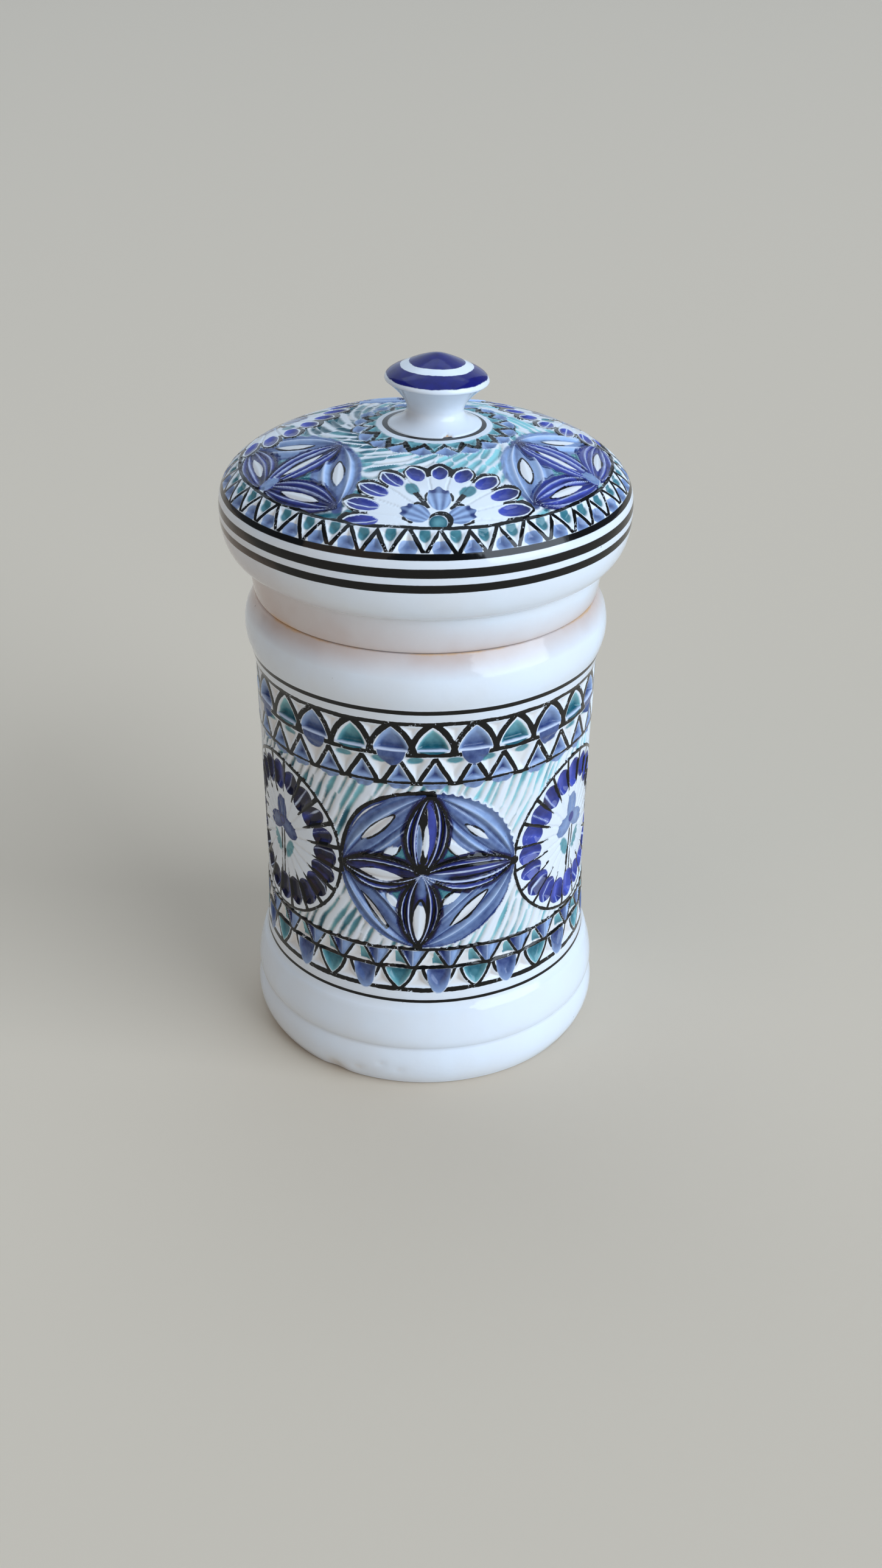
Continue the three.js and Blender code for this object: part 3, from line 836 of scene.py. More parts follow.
@dataclass
class Rosette:
    """A compass rosette: four cobalt petals from a hub, four blue lenses between their tips."""

    radius: float = 30.6
    depth: float = 0.5
    margin: float = 0.4
    petals: tuple[Point, ...] = ((7.2, 7.2), (5.9, 7.4), (6.7, 6.7), (7.4, 5.9))
    lens: Point = (8.9, 7.2)
    hub: Point = (-2.2, -1.2)
    tips: tuple[Point, ...] = ((1.2, 30.0), (30.8, 0.0), (-3.8, -30.4), (-30.4, 0.2))
    bulge: float = 1.7
    bulge_bearing: float = 316.0
    bulge_spread: float = 25.0
    teeth: Point = (8.0, 78.0)
    tooth: float = 1.0
    tooth_pitch: float = 5.8
    rim_wash: float = 1.5
    rim_line: float = 0.75
    rim_line_bearing: float = 262.0
    west_eye: Lens = Lens((-24.2, -1.4), (-8.2, -3.0), 2.1)
    south_eye: Lens = Lens((-2.6, -11.6), (-3.6, -28.0), 2.2)
    lens_eyes: tuple[Lens, ...] = (
        Lens((12.6, 17.8), (21.0, 10.6), 1.05), Lens((20.6, -9.8), (7.7, -22.8), 1.8),
        Lens((-14.2, -23.3), (-23.5, -10.6), 0.9), Lens((-23.3, 10.5), (-11.7, 21.2), 1.5))
    slivers: tuple[Lens, ...] = (
        Lens((6.3, 11.6), (13.8, 4.4), 1.7), Lens((11.7, -7.8), (4.5, -13.6), 1.4),
        Lens((-9.9, -14.9), (-14.4, -9.1), 1.4), Lens((-15.8, 5.2), (-9.7, 9.3), 1.5))
    sliver_line: Point = (0.4, 0.45)
    sliver_reach: float = 19.0
    gems: tuple[Point, ...] = ((6.0, 5.0), (4.6, -7.6), (-9.6, -8.4), (-9.2, 5.4))
    gem: float = 3.6
    shade: Point = (1.3, 1.0)
    petal_past: float = 0.5
    tip_spot: float = 1.7
    hub_spot: float = 2.8
    hub_spot_rise: float = 1.4
    hub_washes: tuple[tuple[Point, Point], ...] = (
        ((1.2, -2.2), (3.2, 2.2)), ((5.0, -1.2), (4.0, 1.4)), ((0.0, -6.0), (1.7, 3.8)))
    hub_charge: float = 0.7
    hub_bleed: float = 1.2
    upper_middle: Point = (0.8, 0.5)
    upper_light: Lens = Lens((-3.2, 19.0), (-3.2, 3.0), 1.0)
    upper_dark: Lens = Lens((0.6, 27.0), (-0.8, 3.0), 2.9)
    upper_dark_left: float = -0.3
    upper_white: Lens = Lens((-0.6, 19.0), (-1.0, 5.0), 1.0)
    upper_charge: float = 0.4

    def carve(self, skin: Skin, x: Array, y: Array) -> None:
        """Carves and paints one rosette.

        Args:
            skin: the surface.
            x: places across from the rosette's middle.
            y: places up from it.
        """
        bearing = np.degrees(np.arctan2(x, y)) % 360
        swell = self.bulge * np.exp(-((bearing - self.bulge_bearing) / self.bulge_spread) ** 2)
        rim = disc(x, y, self.radius) - swell
        toothed = (bearing > self.teeth[0]) & (bearing < self.teeth[1])
        saw = 1 - np.abs(2 * ((bearing / self.tooth_pitch) % 1) - 1)
        notched = np.where(toothed, rim - self.tooth * saw, rim)
        skin.clear(notched - self.margin)
        skin.sink(self.depth, rim)
        for gem in self.gems:
            skin.lay(Pigment.TURQUOISE, disc(x - gem[0], y - gem[1], self.gem), charge=0.7)
        skin.lay(Pigment.BLUE, meet(notched, -rim - self.rim_wash), charge=0.95)
        for side, (eye, sliver) in enumerate(zip(self.lens_eyes, self.slivers)):
            blade = Lens(self.tips[side], self.tips[(side + 1) % len(self.tips)], *self.lens)
            BLUE_LENS.apply(skin, blade, x, y, rim, eye)
            gap = sliver.distance(x, y)
            skin.clear(gap)
            near = np.abs(x) + np.abs(y) - self.sliver_reach
            skin.ink(meet(contour(gap, *self.sliver_line), near))
        lined = bearing > self.rim_line_bearing
        skin.ink(np.where(lined, contour(rim, 0, self.rim_line), FAR))
        self.carve_petals(skin, x, y, rim)

    def carve_petals(self, skin: Skin, x: Array, y: Array, rim: Array) -> None:
        """Carves the four petals over the lenses, and paints the hub.

        Args:
            skin: the surface.
            x: places across.
            y: places up.
            rim: distance from the rosette's rim.
        """
        styles = (COBALT_PETAL, RIBBED_PETAL, COBALT_PETAL, COBALT_PETAL)
        eyes = (None, None, self.south_eye, self.west_eye)
        for tip, widths, style, eye in zip(self.tips, self.petals, styles, eyes):
            petal = Lens(self.hub, tip, *widths)
            shade = meet(petal.distance(x, y) - self.shade[0], rim + self.shade[1])
            skin.lay(Pigment.COBALT, shade, charge=0.9)
            style.apply(skin, petal, x, y, rim - self.petal_past, eye)
            skin.ink(disc(x - tip[0], y - tip[1], self.tip_spot))
        self.carve_upper_eyes(skin, x, y)
        reach_x, reach_y = x - self.hub[0], y - self.hub[1]
        skin.ink(disc(reach_x, reach_y - self.hub_spot_rise, self.hub_spot))
        for spot, half in self.hub_washes:
            shape = oval(reach_x - spot[0], reach_y - spot[1], *half)
            skin.wash(Pigment.BLUE, shape, self.hub_charge, self.hub_bleed)

    def carve_upper_eyes(self, skin: Skin, x: Array, y: Array) -> None:
        """Splits the upper petal's middle into three slender eyes on black.

        Args:
            skin: the surface.
            x: places across.
            y: places up.
        """
        petal = Lens(self.hub, self.tips[0], *self.petals[0])
        skin.over(Pigment.BLACK, petal.smaller(*self.upper_middle).distance(x, y))
        skin.over(Pigment.BLUE, self.upper_light.distance(x, y), self.upper_charge)
        dark = meet(self.upper_dark.distance(x, y), self.upper_dark_left - x)
        skin.over(Pigment.COBALT, dark, self.upper_charge)
        skin.bare(self.upper_white.distance(x, y))


@dataclass
class Medallion:
    """A ringed medallion: a wreath of cobalt petals round a white field with a small flower."""

    radius: float = 29.8
    ring: float = 1.2
    petals: int = 20
    petal_out: float = 28.0
    petal_in: Point = (16.6, 18.8)
    petal_share: float = 0.98
    petal_foot: float = 0.18
    petal_tip: Point = (0.08, 0.3)
    petal_slope: float = 0.6
    petal_depth: float = 1.3
    streak_key: float = 3.7
    streak_size: Point = (6.0, 3.0)
    # Offset and half width of the painted highlight that runs down each petal
    light: Point = (-1.1, 0.8)
    load: float = 0.85
    # Base load, and how much the brush's streaks, the painted highlight and the painted shade on the left
    # change it
    load_changes: Trio = (0.4, 0.3, 0.35)
    rib: Trio = (0.72, 0.5, -1.2)
    tick: float = 0.6
    tick_in: Point = (14.0, 17.0)
    tick_end: float = 0.4
    tick_shift: float = 0.35
    tick_growth: float = 0.12
    tick_widths: Point = (0.4, 1.3)
    # How much wider the ticks are on the left: painted shade, along with a fuller brush
    tick_brush_and_shade: float = 0.2
    vein: float = 0.35
    vein_in: float = 7.0
    vein_depth: float = 0.3
    stems: tuple[tuple[Point, Point], ...] = (((-0.8, 0.5), (-1.6, -17)), ((1.0, 0.5), (0.3, -17)))
    stem: float = 0.45
    leaf: Point = (2.0, 4.2)
    leaf_place: Point = (4.2, -5.5)
    leaf_lean: float = 28.0
    flower_rise: float = 4.5
    lobes: tuple[float, ...] = (0.0, -112.0, 112.0)
    lobe: Point = (3.3, 5.4)
    lobe_out: float = 4.6
    # Lobe load, its fade towards the edge, and the painted shade on the left
    lobe_load: Trio = (0.8, 0.08, 0.25)
    eye: float = 1.3
    eye_charge: float = 0.6
    eye_bleed: float = 0.6

    def carve(self, skin: Skin, x: Array, y: Array) -> None:
        """Carves and paints one medallion.

        Args:
            skin: the surface.
            x: places across from the medallion's middle.
            y: places up from it.
        """
        reach = np.hypot(x, y)
        rim = reach - self.radius
        skin.clear(rim - self.ring / 2)
        skin.ink(contour(rim, 0, self.ring / 2))
        pitch = 2 * math.pi / self.petals
        turn = np.arctan2(x, y) / pitch
        self.carve_wreath(skin, reach, turn, pitch)
        self.carve_ticks(skin, reach, turn, pitch)
        self.carve_flower(skin, x, y)

    def carve_wreath(self, skin: Skin, reach: Array, turn: Array, pitch: float) -> None:
        """Carves the petals round the white field.

        Args:
            skin: the surface.
            reach: distance from the medallion's middle.
            turn: how far round each place lies, in petals.
            pitch: the angle of one petal.
        """
        index = np.round(turn).astype(int) % self.petals
        lean = (turn - np.round(turn)) * pitch
        across, out = reach * np.sin(lean), reach * np.cos(lean)
        half = self.petal_share * pitch * out / 2
        start = skin.draw.uniform(*self.petal_in, self.petals)[index] + self.petal_foot * across ** 2
        end = self.petal_out - skin.draw.uniform(*self.petal_tip, self.petals)[index] * across ** 2
        petal = meet(np.abs(across) - half, start - out, out - end)
        skin.chip(petal, self.petal_slope, self.petal_depth)
        along, aside = self.streak_size
        brush = skin.noise.drawn(index * self.streak_key, out / along, across / aside)
        # A paler streak down each petal is a painted highlight; the colour lies thicker on the left as
        # painted shade, along with a fuller brush
        pale = np.exp(-((across - self.light[0]) / self.light[1]) ** 2)
        brushed, light, full = self.load_changes
        load = self.load + brushed * brush - light * pale + full * skin.brush_and_shade_side
        skin.lay(Pigment.COBALT, petal, np.clip(load, 0, 1))
        half, uneven, middle = self.rib
        rib = half + uneven * brush - np.abs(across - middle)
        skin.ridge = np.where(petal < 0, np.clip(rib, 0, 1), skin.ridge)

    def carve_ticks(self, skin: Skin, reach: Array, turn: Array, pitch: float) -> None:
        """Paints the black ticks between the petals, and cuts the veins that run on from them.

        Args:
            skin: the surface.
            reach: distance from the medallion's middle.
            turn: how far round each place lies, in petals.
            pitch: the angle of one petal.
        """
        gap = (np.floor(turn) + 0.5 - turn) * pitch
        across, out = reach * np.sin(gap), reach * np.cos(gap)
        index = np.floor(turn).astype(int) % self.petals
        inner = skin.draw.uniform(*self.tick_in, self.petals)[index]
        span = meet(inner - out, out - self.radius + self.tick_end)
        growth = np.clip(self.tick_widths[0] + self.tick_growth * (out - inner), *self.tick_widths)
        # The ticks widen on the left as painted shade, along with a fuller brush
        width = self.tick * growth * (1 + self.tick_brush_and_shade * skin.brush_and_shade_side)
        skin.ink(meet(contour(across, self.tick_shift, width), span))
        span = meet(self.vein_in - out, out - self.petal_in[0])
        skin.sink(self.vein_depth, meet(np.abs(across) - self.vein, span))

    def carve_flower(self, skin: Skin, x: Array, y: Array) -> None:
        """Paints the small flower, its two stems and its leaves.

        Args:
            skin: the surface.
            x: places across.
            y: places up.
        """
        for start, end in self.stems:
            skin.ink(stroke(x, y, start, end, self.stem))
        for side in (-1, 1):
            away, rise = self.leaf_place
            leaf_x, leaf_y = turned(x - side * away, y - rise, side * self.leaf_lean)
            skin.lay(Pigment.TURQUOISE, oval(leaf_x, leaf_y, *self.leaf), charge=0.6)
        # The lobes lie thicker on the left as painted shade, along with a fuller brush
        load, fade, full = self.lobe_load
        for angle in self.lobes:
            lobe_x, lobe_y = turned(x, y - self.flower_rise, angle)
            lobe = oval(lobe_x, lobe_y - self.lobe_out, *self.lobe)
            skin.lay(Pigment.BLUE, lobe, np.clip(load + fade * lobe + full * skin.brush_and_shade_side, 0, 1))
        skin.wash(Pigment.COBALT, disc(x, y - self.flower_rise, self.eye), self.eye_charge, self.eye_bleed)


@dataclass
class GougeField:
    """Slanting gouge strokes, turquoise in the hollows and white on the ridges.

    Keys are plain numbers that draw each stroke's own noise.
    """

    slant: float = 64.0
    pitch: float = 3.5
    length: float = 38.0
    depth: float = 0.7
    floor: float = 0.2
    sway: float = 1.4
    sway_cell: float = 13.0
    sway_key: float = 31.0
    stray: float = 0.3
    stray_keys: Point = (3.1, 4.7)
    start_key: float = 5.9
    fullest: float = 6.0
    sharpness: int = 3
    brush: float = 0.78
    brush_least: float = 0.65
    brush_key: float = 7.3
    streak: float = 9.0
    wet_key: float = 40.0
    bare: float = 0.45
    crisp: float = 0.6
    charge: float = 0.55
    uneven: float = 0.5
    # How much thicker the strokes lie on the left: painted shade, along with a fuller brush
    brush_and_shade_load: float = 0.5

    def carve(self, skin: Skin, x: Array, y: Array, ground: Array) -> None:
        """Carves and paints the strokes.

        Args:
            skin: the surface.
            x: places across.
            y: places up.
            ground: distance from the edge of the ground that the strokes fill.
        """
        c, s = math.cos(math.radians(self.slant)), math.sin(math.radians(self.slant))
        across = x * s - y * c + skin.noise.at(skin.place + self.sway_key, self.sway_cell) * self.sway
        along = x * c + y * s
        lane = np.round(across / self.pitch)
        run = along / self.length + skin.noise.drawn(lane * self.start_key)
        stray = skin.noise.drawn(lane * self.stray_keys[0], np.floor(run) * self.stray_keys[1])
        off = across - (lane + self.stray * stray) * self.pitch
        part = run - np.floor(run)
        body = np.sqrt(np.clip(self.fullest * part * (1 - part), 0, 1))
        groove = np.cos(math.pi * np.clip(off / self.pitch, -0.5, 0.5)) ** self.sharpness
        skin.sink(self.floor + self.depth * body * groove, ground)
        keys = lane * self.brush_key, along / self.streak
        load = skin.noise.drawn(*keys)
        wet = skin.noise.drawn(keys[0] + self.wet_key, keys[1] + self.wet_key, self.wet_key)
        width = np.minimum(self.brush * (self.brush_least + load) * body, self.pitch / 2 - self.bare)
        brushed = meet((np.abs(off) - width) * self.crisp, ground)
        # The strokes lie thicker on the left as painted shade, along with a fuller brush
        charge = self.charge + self.uneven * wet + self.brush_and_shade_load * skin.brush_and_shade_side
        skin.lay(Pigment.TURQUOISE, brushed, charge)


# Ornament of the lid


@dataclass(frozen=True)
class Shell:
    """One of a fan's three ribbed shells: where it stands on the fan, and its half sizes."""

    angle: float
    middle: float
    half_width: float
    half_length: float


@dataclass
class Fan:
    """A half medallion that stands on the lid's border: petals, incised rays, three shells, two leaves."""

    radius: float = 29.2
    lean: float = 4.6
    stretch: float = 1.09
    squareness: float = 2.45
    petals: int = 11
    spread: float = 168.0
    petal_half: float = 2.25
    petal_length: Point = (7.4, 10.2)
    petal_slope: float = 0.6
    petal_depth: float = 0.8
    petal_load: Point = (0.85, 0.4)
    petal_thinnest: float = 0.05
    petal_wear: float = 0.5
    worn_until: float = -1.5
    blade_length: float = 3.4
    blade_past: float = 0.4
    blade_widening: float = 1.6
    white_line: float = 0.4
    black_line: float = 1.7
    black_least: float = 0.3
    wreath_depth: float = 1.5
    vein: float = 0.3
    vein_depth: float = 0.25
    vein_span: Point = (14.5, 6.5)
    leaves: Point = (-29.0, 31.0)
    leaf: Point = (2.1, 3.2)
    leaf_out: float = 17.2
    stem: Point = (0.35, 0.04)
    stem_span: Point = (11.0, 4.2)
    shells: tuple[Shell, ...] = (
        Shell(-60, 8.2, 3.5, 4.6), Shell(60, 8.2, 3.5, 4.6), Shell(0, 10.6, 3.7, 5.2))
    scallop: float = 0.35
    scallop_pitch: float = 0.22
    scallop_rise: float = 3.0
    rib_pitch: float = 0.28
    rib_start: float = 3.0
    cap: Point = (1.6, 2.8)
    shell_load: Trio = (0.36, 0.3, 0.5)
    shell_line: Point = (0.5, 0.4)
    shell_line_span: Point = (0.6, 2.0)
    hub_shadow: tuple[Point, float] = ((0.8, 1.2), 3.8)
    hub_rise: float = 0.5
    hub: float = 2.9
    hub_load: Point = (0.55, 0.16)

    def carve(self, skin: Skin, x: Array, y: Array, border: Array) -> None:
        """Carves and paints one fan.

        Args:
            skin: the surface.
            x: places across from the fan's hub.
            y: places from the hub towards the knob.
            border: distance past the border line that cuts the fan off.
        """
        x, y = turned(x, y, self.lean)
        aside = x / self.stretch
        reach = (np.abs(aside) ** self.squareness + np.abs(y) ** self.squareness) ** (1 / self.squareness)
        pitch = math.radians(self.spread) / (self.petals - 1)
        turn = np.arctan2(aside, y) / pitch
        side = np.round(turn)
        lean = (turn - side) * pitch
        across, out = reach * np.sin(lean), reach * np.cos(lean)
        tip = self.radius - self.white_line - self.black_line
        half_length = np.interp(np.abs(side), (0, self.petals // 2), self.petal_length) / 2
        foot = tip - self.blade_length * self.petal_length[1] / 2
        blade = Lens((0, foot), (0, tip + self.blade_past), self.petal_half + self.blade_widening)
        bud = np.hypot(across / self.petal_half, (out - tip + half_length) / half_length) - 1
        petal = meet(bud * self.petal_half, blade.distance(across, out))
        lead = np.where(side == 0, 1, np.clip(-np.sign(side) * across / self.petal_half, 0, 1))
        outer = petal - self.white_line - self.black_line * (self.black_least + (1 - self.black_least) * lead)
        skin.clear(meet(np.minimum(outer, reach - self.radius + half_length), border))
        inside = meet(petal, border)
        skin.sink(np.clip(-petal * self.petal_slope, 0, self.petal_depth), inside)
        wreath = meet(tip - self.wreath_depth * half_length - reach, outer, border)
        skin.ink(meet(self.white_line - petal, wreath))
        load = self.petal_load[0] - self.petal_load[1] * (tip - out) / half_length
        skin.lay(Pigment.COBALT, inside, np.clip(load, self.petal_thinnest, 1))
        skin.crease(across, meet(inside, turn - self.worn_until), self.petal_wear)
        gap = (np.floor(turn) + 0.5 - turn) * pitch
        vein = meet(np.abs(reach * np.sin(gap)) - self.vein, contour(reach, *self.vein_span))
        skin.sink(self.vein_depth, meet(vein, border))
        self.carve_shells(skin, x, y, border)

    def carve_shells(self, skin: Skin, x: Array, y: Array, border: Array) -> None:
        """Paints the three ribbed shells, the two leaves and the hub.

        Args:
            skin: the surface.
            x: places across.
            y: places up.
            border: distance past the border line.
        """
        for angle in self.leaves:
            across, out = turned(x, y, angle)
            leaf = oval(across, out - self.leaf_out, *self.leaf)
            skin.lay(Pigment.TURQUOISE, leaf, charge=0.75)
            stem = np.abs(across) - self.stem[0] - self.stem[1] * out
            skin.ink(meet(stem, contour(out, *self.stem_span)))
        load, rib_load, cap_load = self.shell_load
        for shell in self.shells:
            across, out = turned(x, y, shell.angle)
            ray = across / np.maximum(out, self.rib_start) * 2 * math.pi
            edge = ease(shell.middle, shell.middle + self.scallop_rise, out)
            shape = oval(across, out - shell.middle, shell.half_width, shell.half_length)
            shape = meet(shape - self.scallop * np.cos(ray / self.scallop_pitch) * edge, border)
            skin.clear(shape)
            cap = ease(shell.middle + self.cap[0], shell.middle + self.cap[1], out)
            charge = load - rib_load * np.cos(ray / self.rib_pitch) + cap_load * cap
            skin.lay(Pigment.BLUE, shape, np.clip(charge, 0, 1))
            span = contour(out - shell.middle, *self.shell_line_span)
            skin.ink(meet(contour(shape, *self.shell_line), span))
        shift, radius = self.hub_shadow
        skin.ink(disc(x - shift[0], y - shift[1], radius))
        up = y - self.hub_rise
        load = self.hub_load[0] + self.hub_load[1] * np.hypot(x, up)
        skin.over(Pigment.TURQUOISE, disc(x, up, self.hub), np.clip(load, 0, 1))


@dataclass
class HalfRosette:
    """Half a compass rosette on the lid: three cobalt petals and two blue lenses."""

    petal: float = 7.0
    lens: Point = (6.8, 8.2)
    petal_eye: Point = (0.5, 0.2)
    lens_eye: Point = (0.4, 0.26)
    bleed: float = 0.4
    gem: float = 4.6
    gem_share: float = 0.27
    lens_wash: Point = (1.0, 0.55)
    petal_wash: Point = (0.3, 0.95)
    tip_wash: Point = (2.0, 0.9)
    hub: Point = (2.6, 3.4)
    hub_rise: float = 2.4

    def carve(self, skin: Skin, x: Array, y: Array, tips: list[Point], border: Array) -> None:
        """Carves and paints one half rosette.

        Args:
            skin: the surface.
            x: places across from its hub.
            y: places from the hub towards the knob.
            tips: ends of the left, inner and right petals.
            border: distance past the border line that cuts it off.
        """
        for left, right in zip(tips, tips[1:]):
            gem = (left[0] + right[0]) * self.gem_share, (left[1] + right[1]) * self.gem_share
            spot = meet(disc(x - gem[0], y - gem[1], self.gem), border)
            skin.over(Pigment.TURQUOISE, spot, charge=0.3)
            blade = Lens(left, right, *self.lens)
            wash = (blade.distance(x, y) - self.lens_wash[0]) * self.bleed
            skin.lay(Pigment.BLUE, meet(wash, border), self.lens_wash[1])
            LID_LENS.apply(skin, blade, x, y, border, blade.smaller(*self.lens_eye))
        for tip in tips:
            petal = Lens((0, 0), tip, self.petal)
            wash = (petal.distance(x, y) - self.petal_wash[0]) * self.bleed
            skin.lay(Pigment.COBALT, meet(wash, border), self.petal_wash[1])
            LID_PETAL.apply(skin, petal, x, y, border, petal.smaller(*self.petal_eye))
            wash = disc(x - tip[0], y - tip[1], self.tip_wash[0]) * self.bleed
            skin.lay(Pigment.BLUE, meet(wash, border), self.tip_wash[1])
        hub = meet(oval(x, y - self.hub_rise, *self.hub), border)
        skin.over(Pigment.BLUE, hub, charge=0.5)


@dataclass
class ZigzagBand:
    """The band round the lid's edge: hanging white chips with a turquoise spot, blue scales between."""

    count: int = 42
    stray: Point = (0.9, 0.5)
    width: float = 7.9
    tip_gap: float = 0.4
    line: float = 1.35
    line_out: float = 0.6
    depth: float = 1.1
    chip_slope: float = 0.6
    chip_edges: Point = (0.2, 0.5)
    rise_slope: float = 0.7
    rise_edges: Point = (1.4, 0.4)
    drop: Point = (1.8, 2.6)
    drop_fall: Point = (1.7, 0.1)
    scale: Point = (3.0, 2.7)
    scale_rise: float = 1.6
    scale_edge: float = 1.0
    scale_load: float = 0.25
    scale_fullest: float = 0.8

    def carve(self, skin: Skin, up: Array, height: float) -> None:
        """Carves and paints the band.

        Args:
            skin: the surface.
            up: distance up the skin from the band's lower border.
            height: distance between its borders.
        """
        row = meet(-up, up - height)
        across = skin.around(self.count, 0.0, self.stray[0])
        between = skin.around(self.count, 180 / self.count, self.stray[1])
        hang = gable(across, height - up, self.width, height - self.tip_gap)
        chip = meet(hang + self.chip_edges[0], row + self.chip_edges[1])
        skin.chip(chip, self.chip_slope, self.depth)
        rise = meet(-hang + self.rise_edges[0], row + self.rise_edges[1])
        skin.chip(rise, self.rise_slope, self.depth)
        skin.ink(meet(contour(hang, self.line_out, self.line / 2), row))
        drop = oval(across, up - height + self.drop_fall[0], *self.drop)
        skin.lay(Pigment.TURQUOISE, meet(drop, up - height + self.drop_fall[1]), charge=0.8)
        scale = meet(oval(between, up - self.scale_rise, *self.scale), -hang + self.scale_edge)
        load = self.scale_load - self.scale_load * scale
        skin.lay(Pigment.BLUE, scale, np.clip(load, 0, self.scale_fullest))


@dataclass
class KnobSurround:
    """Rings and two rows of scales round the foot of the knob."""

    ring_in: float = 14.4
    ring_out: float = 17.0
    white_out: float = 19.0
    scales: int = 20
    inner_size: Point = (5.8, 4.2)
    inner_charge: float = 0.35
    outer_foot: float = 26.4
    outer_size: Point = (7.6, 5.6)
    outer_charge: float = 0.2
    scallop: float = 0.7
    waver: float = 0.6
    waver_cell: float = 5.0
    margin: float = 1.0
    line: float = 0.5
    crisp: float = 0.45
    patch: Point = (1.5, 0.2)
    patch_cell: float = 15.0
    slope: float = 0.6
    depth: float = 0.9
    deepening: float = 0.3

    def carve(self, skin: Skin, centre: Point) -> None:
        """Carves and paints the surround.

        Args:
            skin: the surface.
            centre: the middle of the knob's foot, in plan.
        """
        x, y = skin.hand[:, 0] - centre[0], skin.hand[:, 1] - centre[1]
        reach = np.hypot(x, y)
        pitch = 2 * math.pi / self.scales
        turn = np.arctan2(x, -y) / pitch
        across = [reach * np.sin((turn + shift - np.round(turn + shift)) * pitch) for shift in (0.0, 0.5)]
        scallop = self.scallop * np.cos(2 * math.pi * (turn + 0.5))
        scallop += self.waver * skin.noise.at(skin.place, self.waver_cell)
        inner_up, outer_up = reach - self.white_out, self.outer_foot + scallop - reach
        inner = meet(gable(across[0], inner_up, *self.inner_size), -inner_up)
        outer = meet(gable(across[1], outer_up, *self.outer_size), -outer_up)
        skin.clear(np.minimum(reach - self.white_out - self.margin, outer))
        patchy = skin.noise.at(skin.place, self.patch_cell) * self.patch[0] + self.patch[1]
        rows = (outer, Pigment.BLUE, self.outer_charge), (inner, Pigment.TURQUOISE, self.inner_charge)
        for shape, pigment, charge in rows:
            line = meet(contour(shape, self.line, self.line), patchy - outer_up)
            skin.ink(meet(line * self.crisp, self.white_out - reach))
            skin.chip(shape, self.slope, self.depth)
            skin.lay(pigment, shape, np.clip(charge - self.deepening * shape, 0, 1))
        skin.clear(reach - self.white_out)
        skin.lay(Pigment.BANDING, meet(reach - self.ring_out, self.ring_in - reach))


# Turned skins


@dataclass(frozen=True)
class Weave:
    """How fine a stretch of skin is: spacing of its rows, points in each, and whether it is worked."""

    step: float
    columns: int
    worked: bool = False


@dataclass
class Row:
    """One ring of points on a turned skin."""

    radius: float
    height: float
    columns: int
    worked: bool


@dataclass
class Outline:
    """A profile drawn in the half plane, as a turner draws it: radius across, height up."""

    rows: list[Row] = field(default_factory=list)

    def start(self, radius: float, height: float, weave: Weave) -> None:
        """Puts the first point down."""
        self.rows.append(Row(radius, height, weave.columns, False))

    def line(self, radius: float, height: float, weave: Weave) -> None:
        """Draws a straight stretch.

        Args:
            radius: where it ends.
            height: where it ends.
            weave: how fine it is.
        """
        last = self.rows[-1]
        middle = (last.radius + radius) / 2, (last.height + height) / 2
        self.bend(middle, (radius, height), weave)

    def bend(self, control: Point, end: Point, weave: Weave) -> None:
        """Draws a parabola that leaves and arrives along lines through its control point.

        Args:
            control: the control point.
            end: where it ends.
            weave: how fine it is.
        """
        last = self.rows[-1]
        start = (last.radius, last.height)
        length = (math.dist(start, control) + math.dist(control, end) + math.dist(start, end)) / 2
        count = max(1, round(length / weave.step))
        for t in np.arange(1, count + 1) / count:
            corners = zip(start, control, end)
            radius, height = ((1 - t) ** 2 * a + 2 * t * (1 - t) * b + t * t * c for a, b, c in corners)
            self.rows.append(Row(radius, height, weave.columns, weave.worked))

    def swell(self, crest: Point, end: Point, weave: Weave) -> None:
        """Draws a parabola that passes through a crest half way.

        Args:
            crest: the point half way.
            end: where it ends.
            weave: how fine it is.
        """
        last = self.rows[-1]
        control = (2 * crest[0] - (last.radius + end[0]) / 2, 2 * crest[1] - (last.height + end[1]) / 2)
        self.bend(control, end, weave)


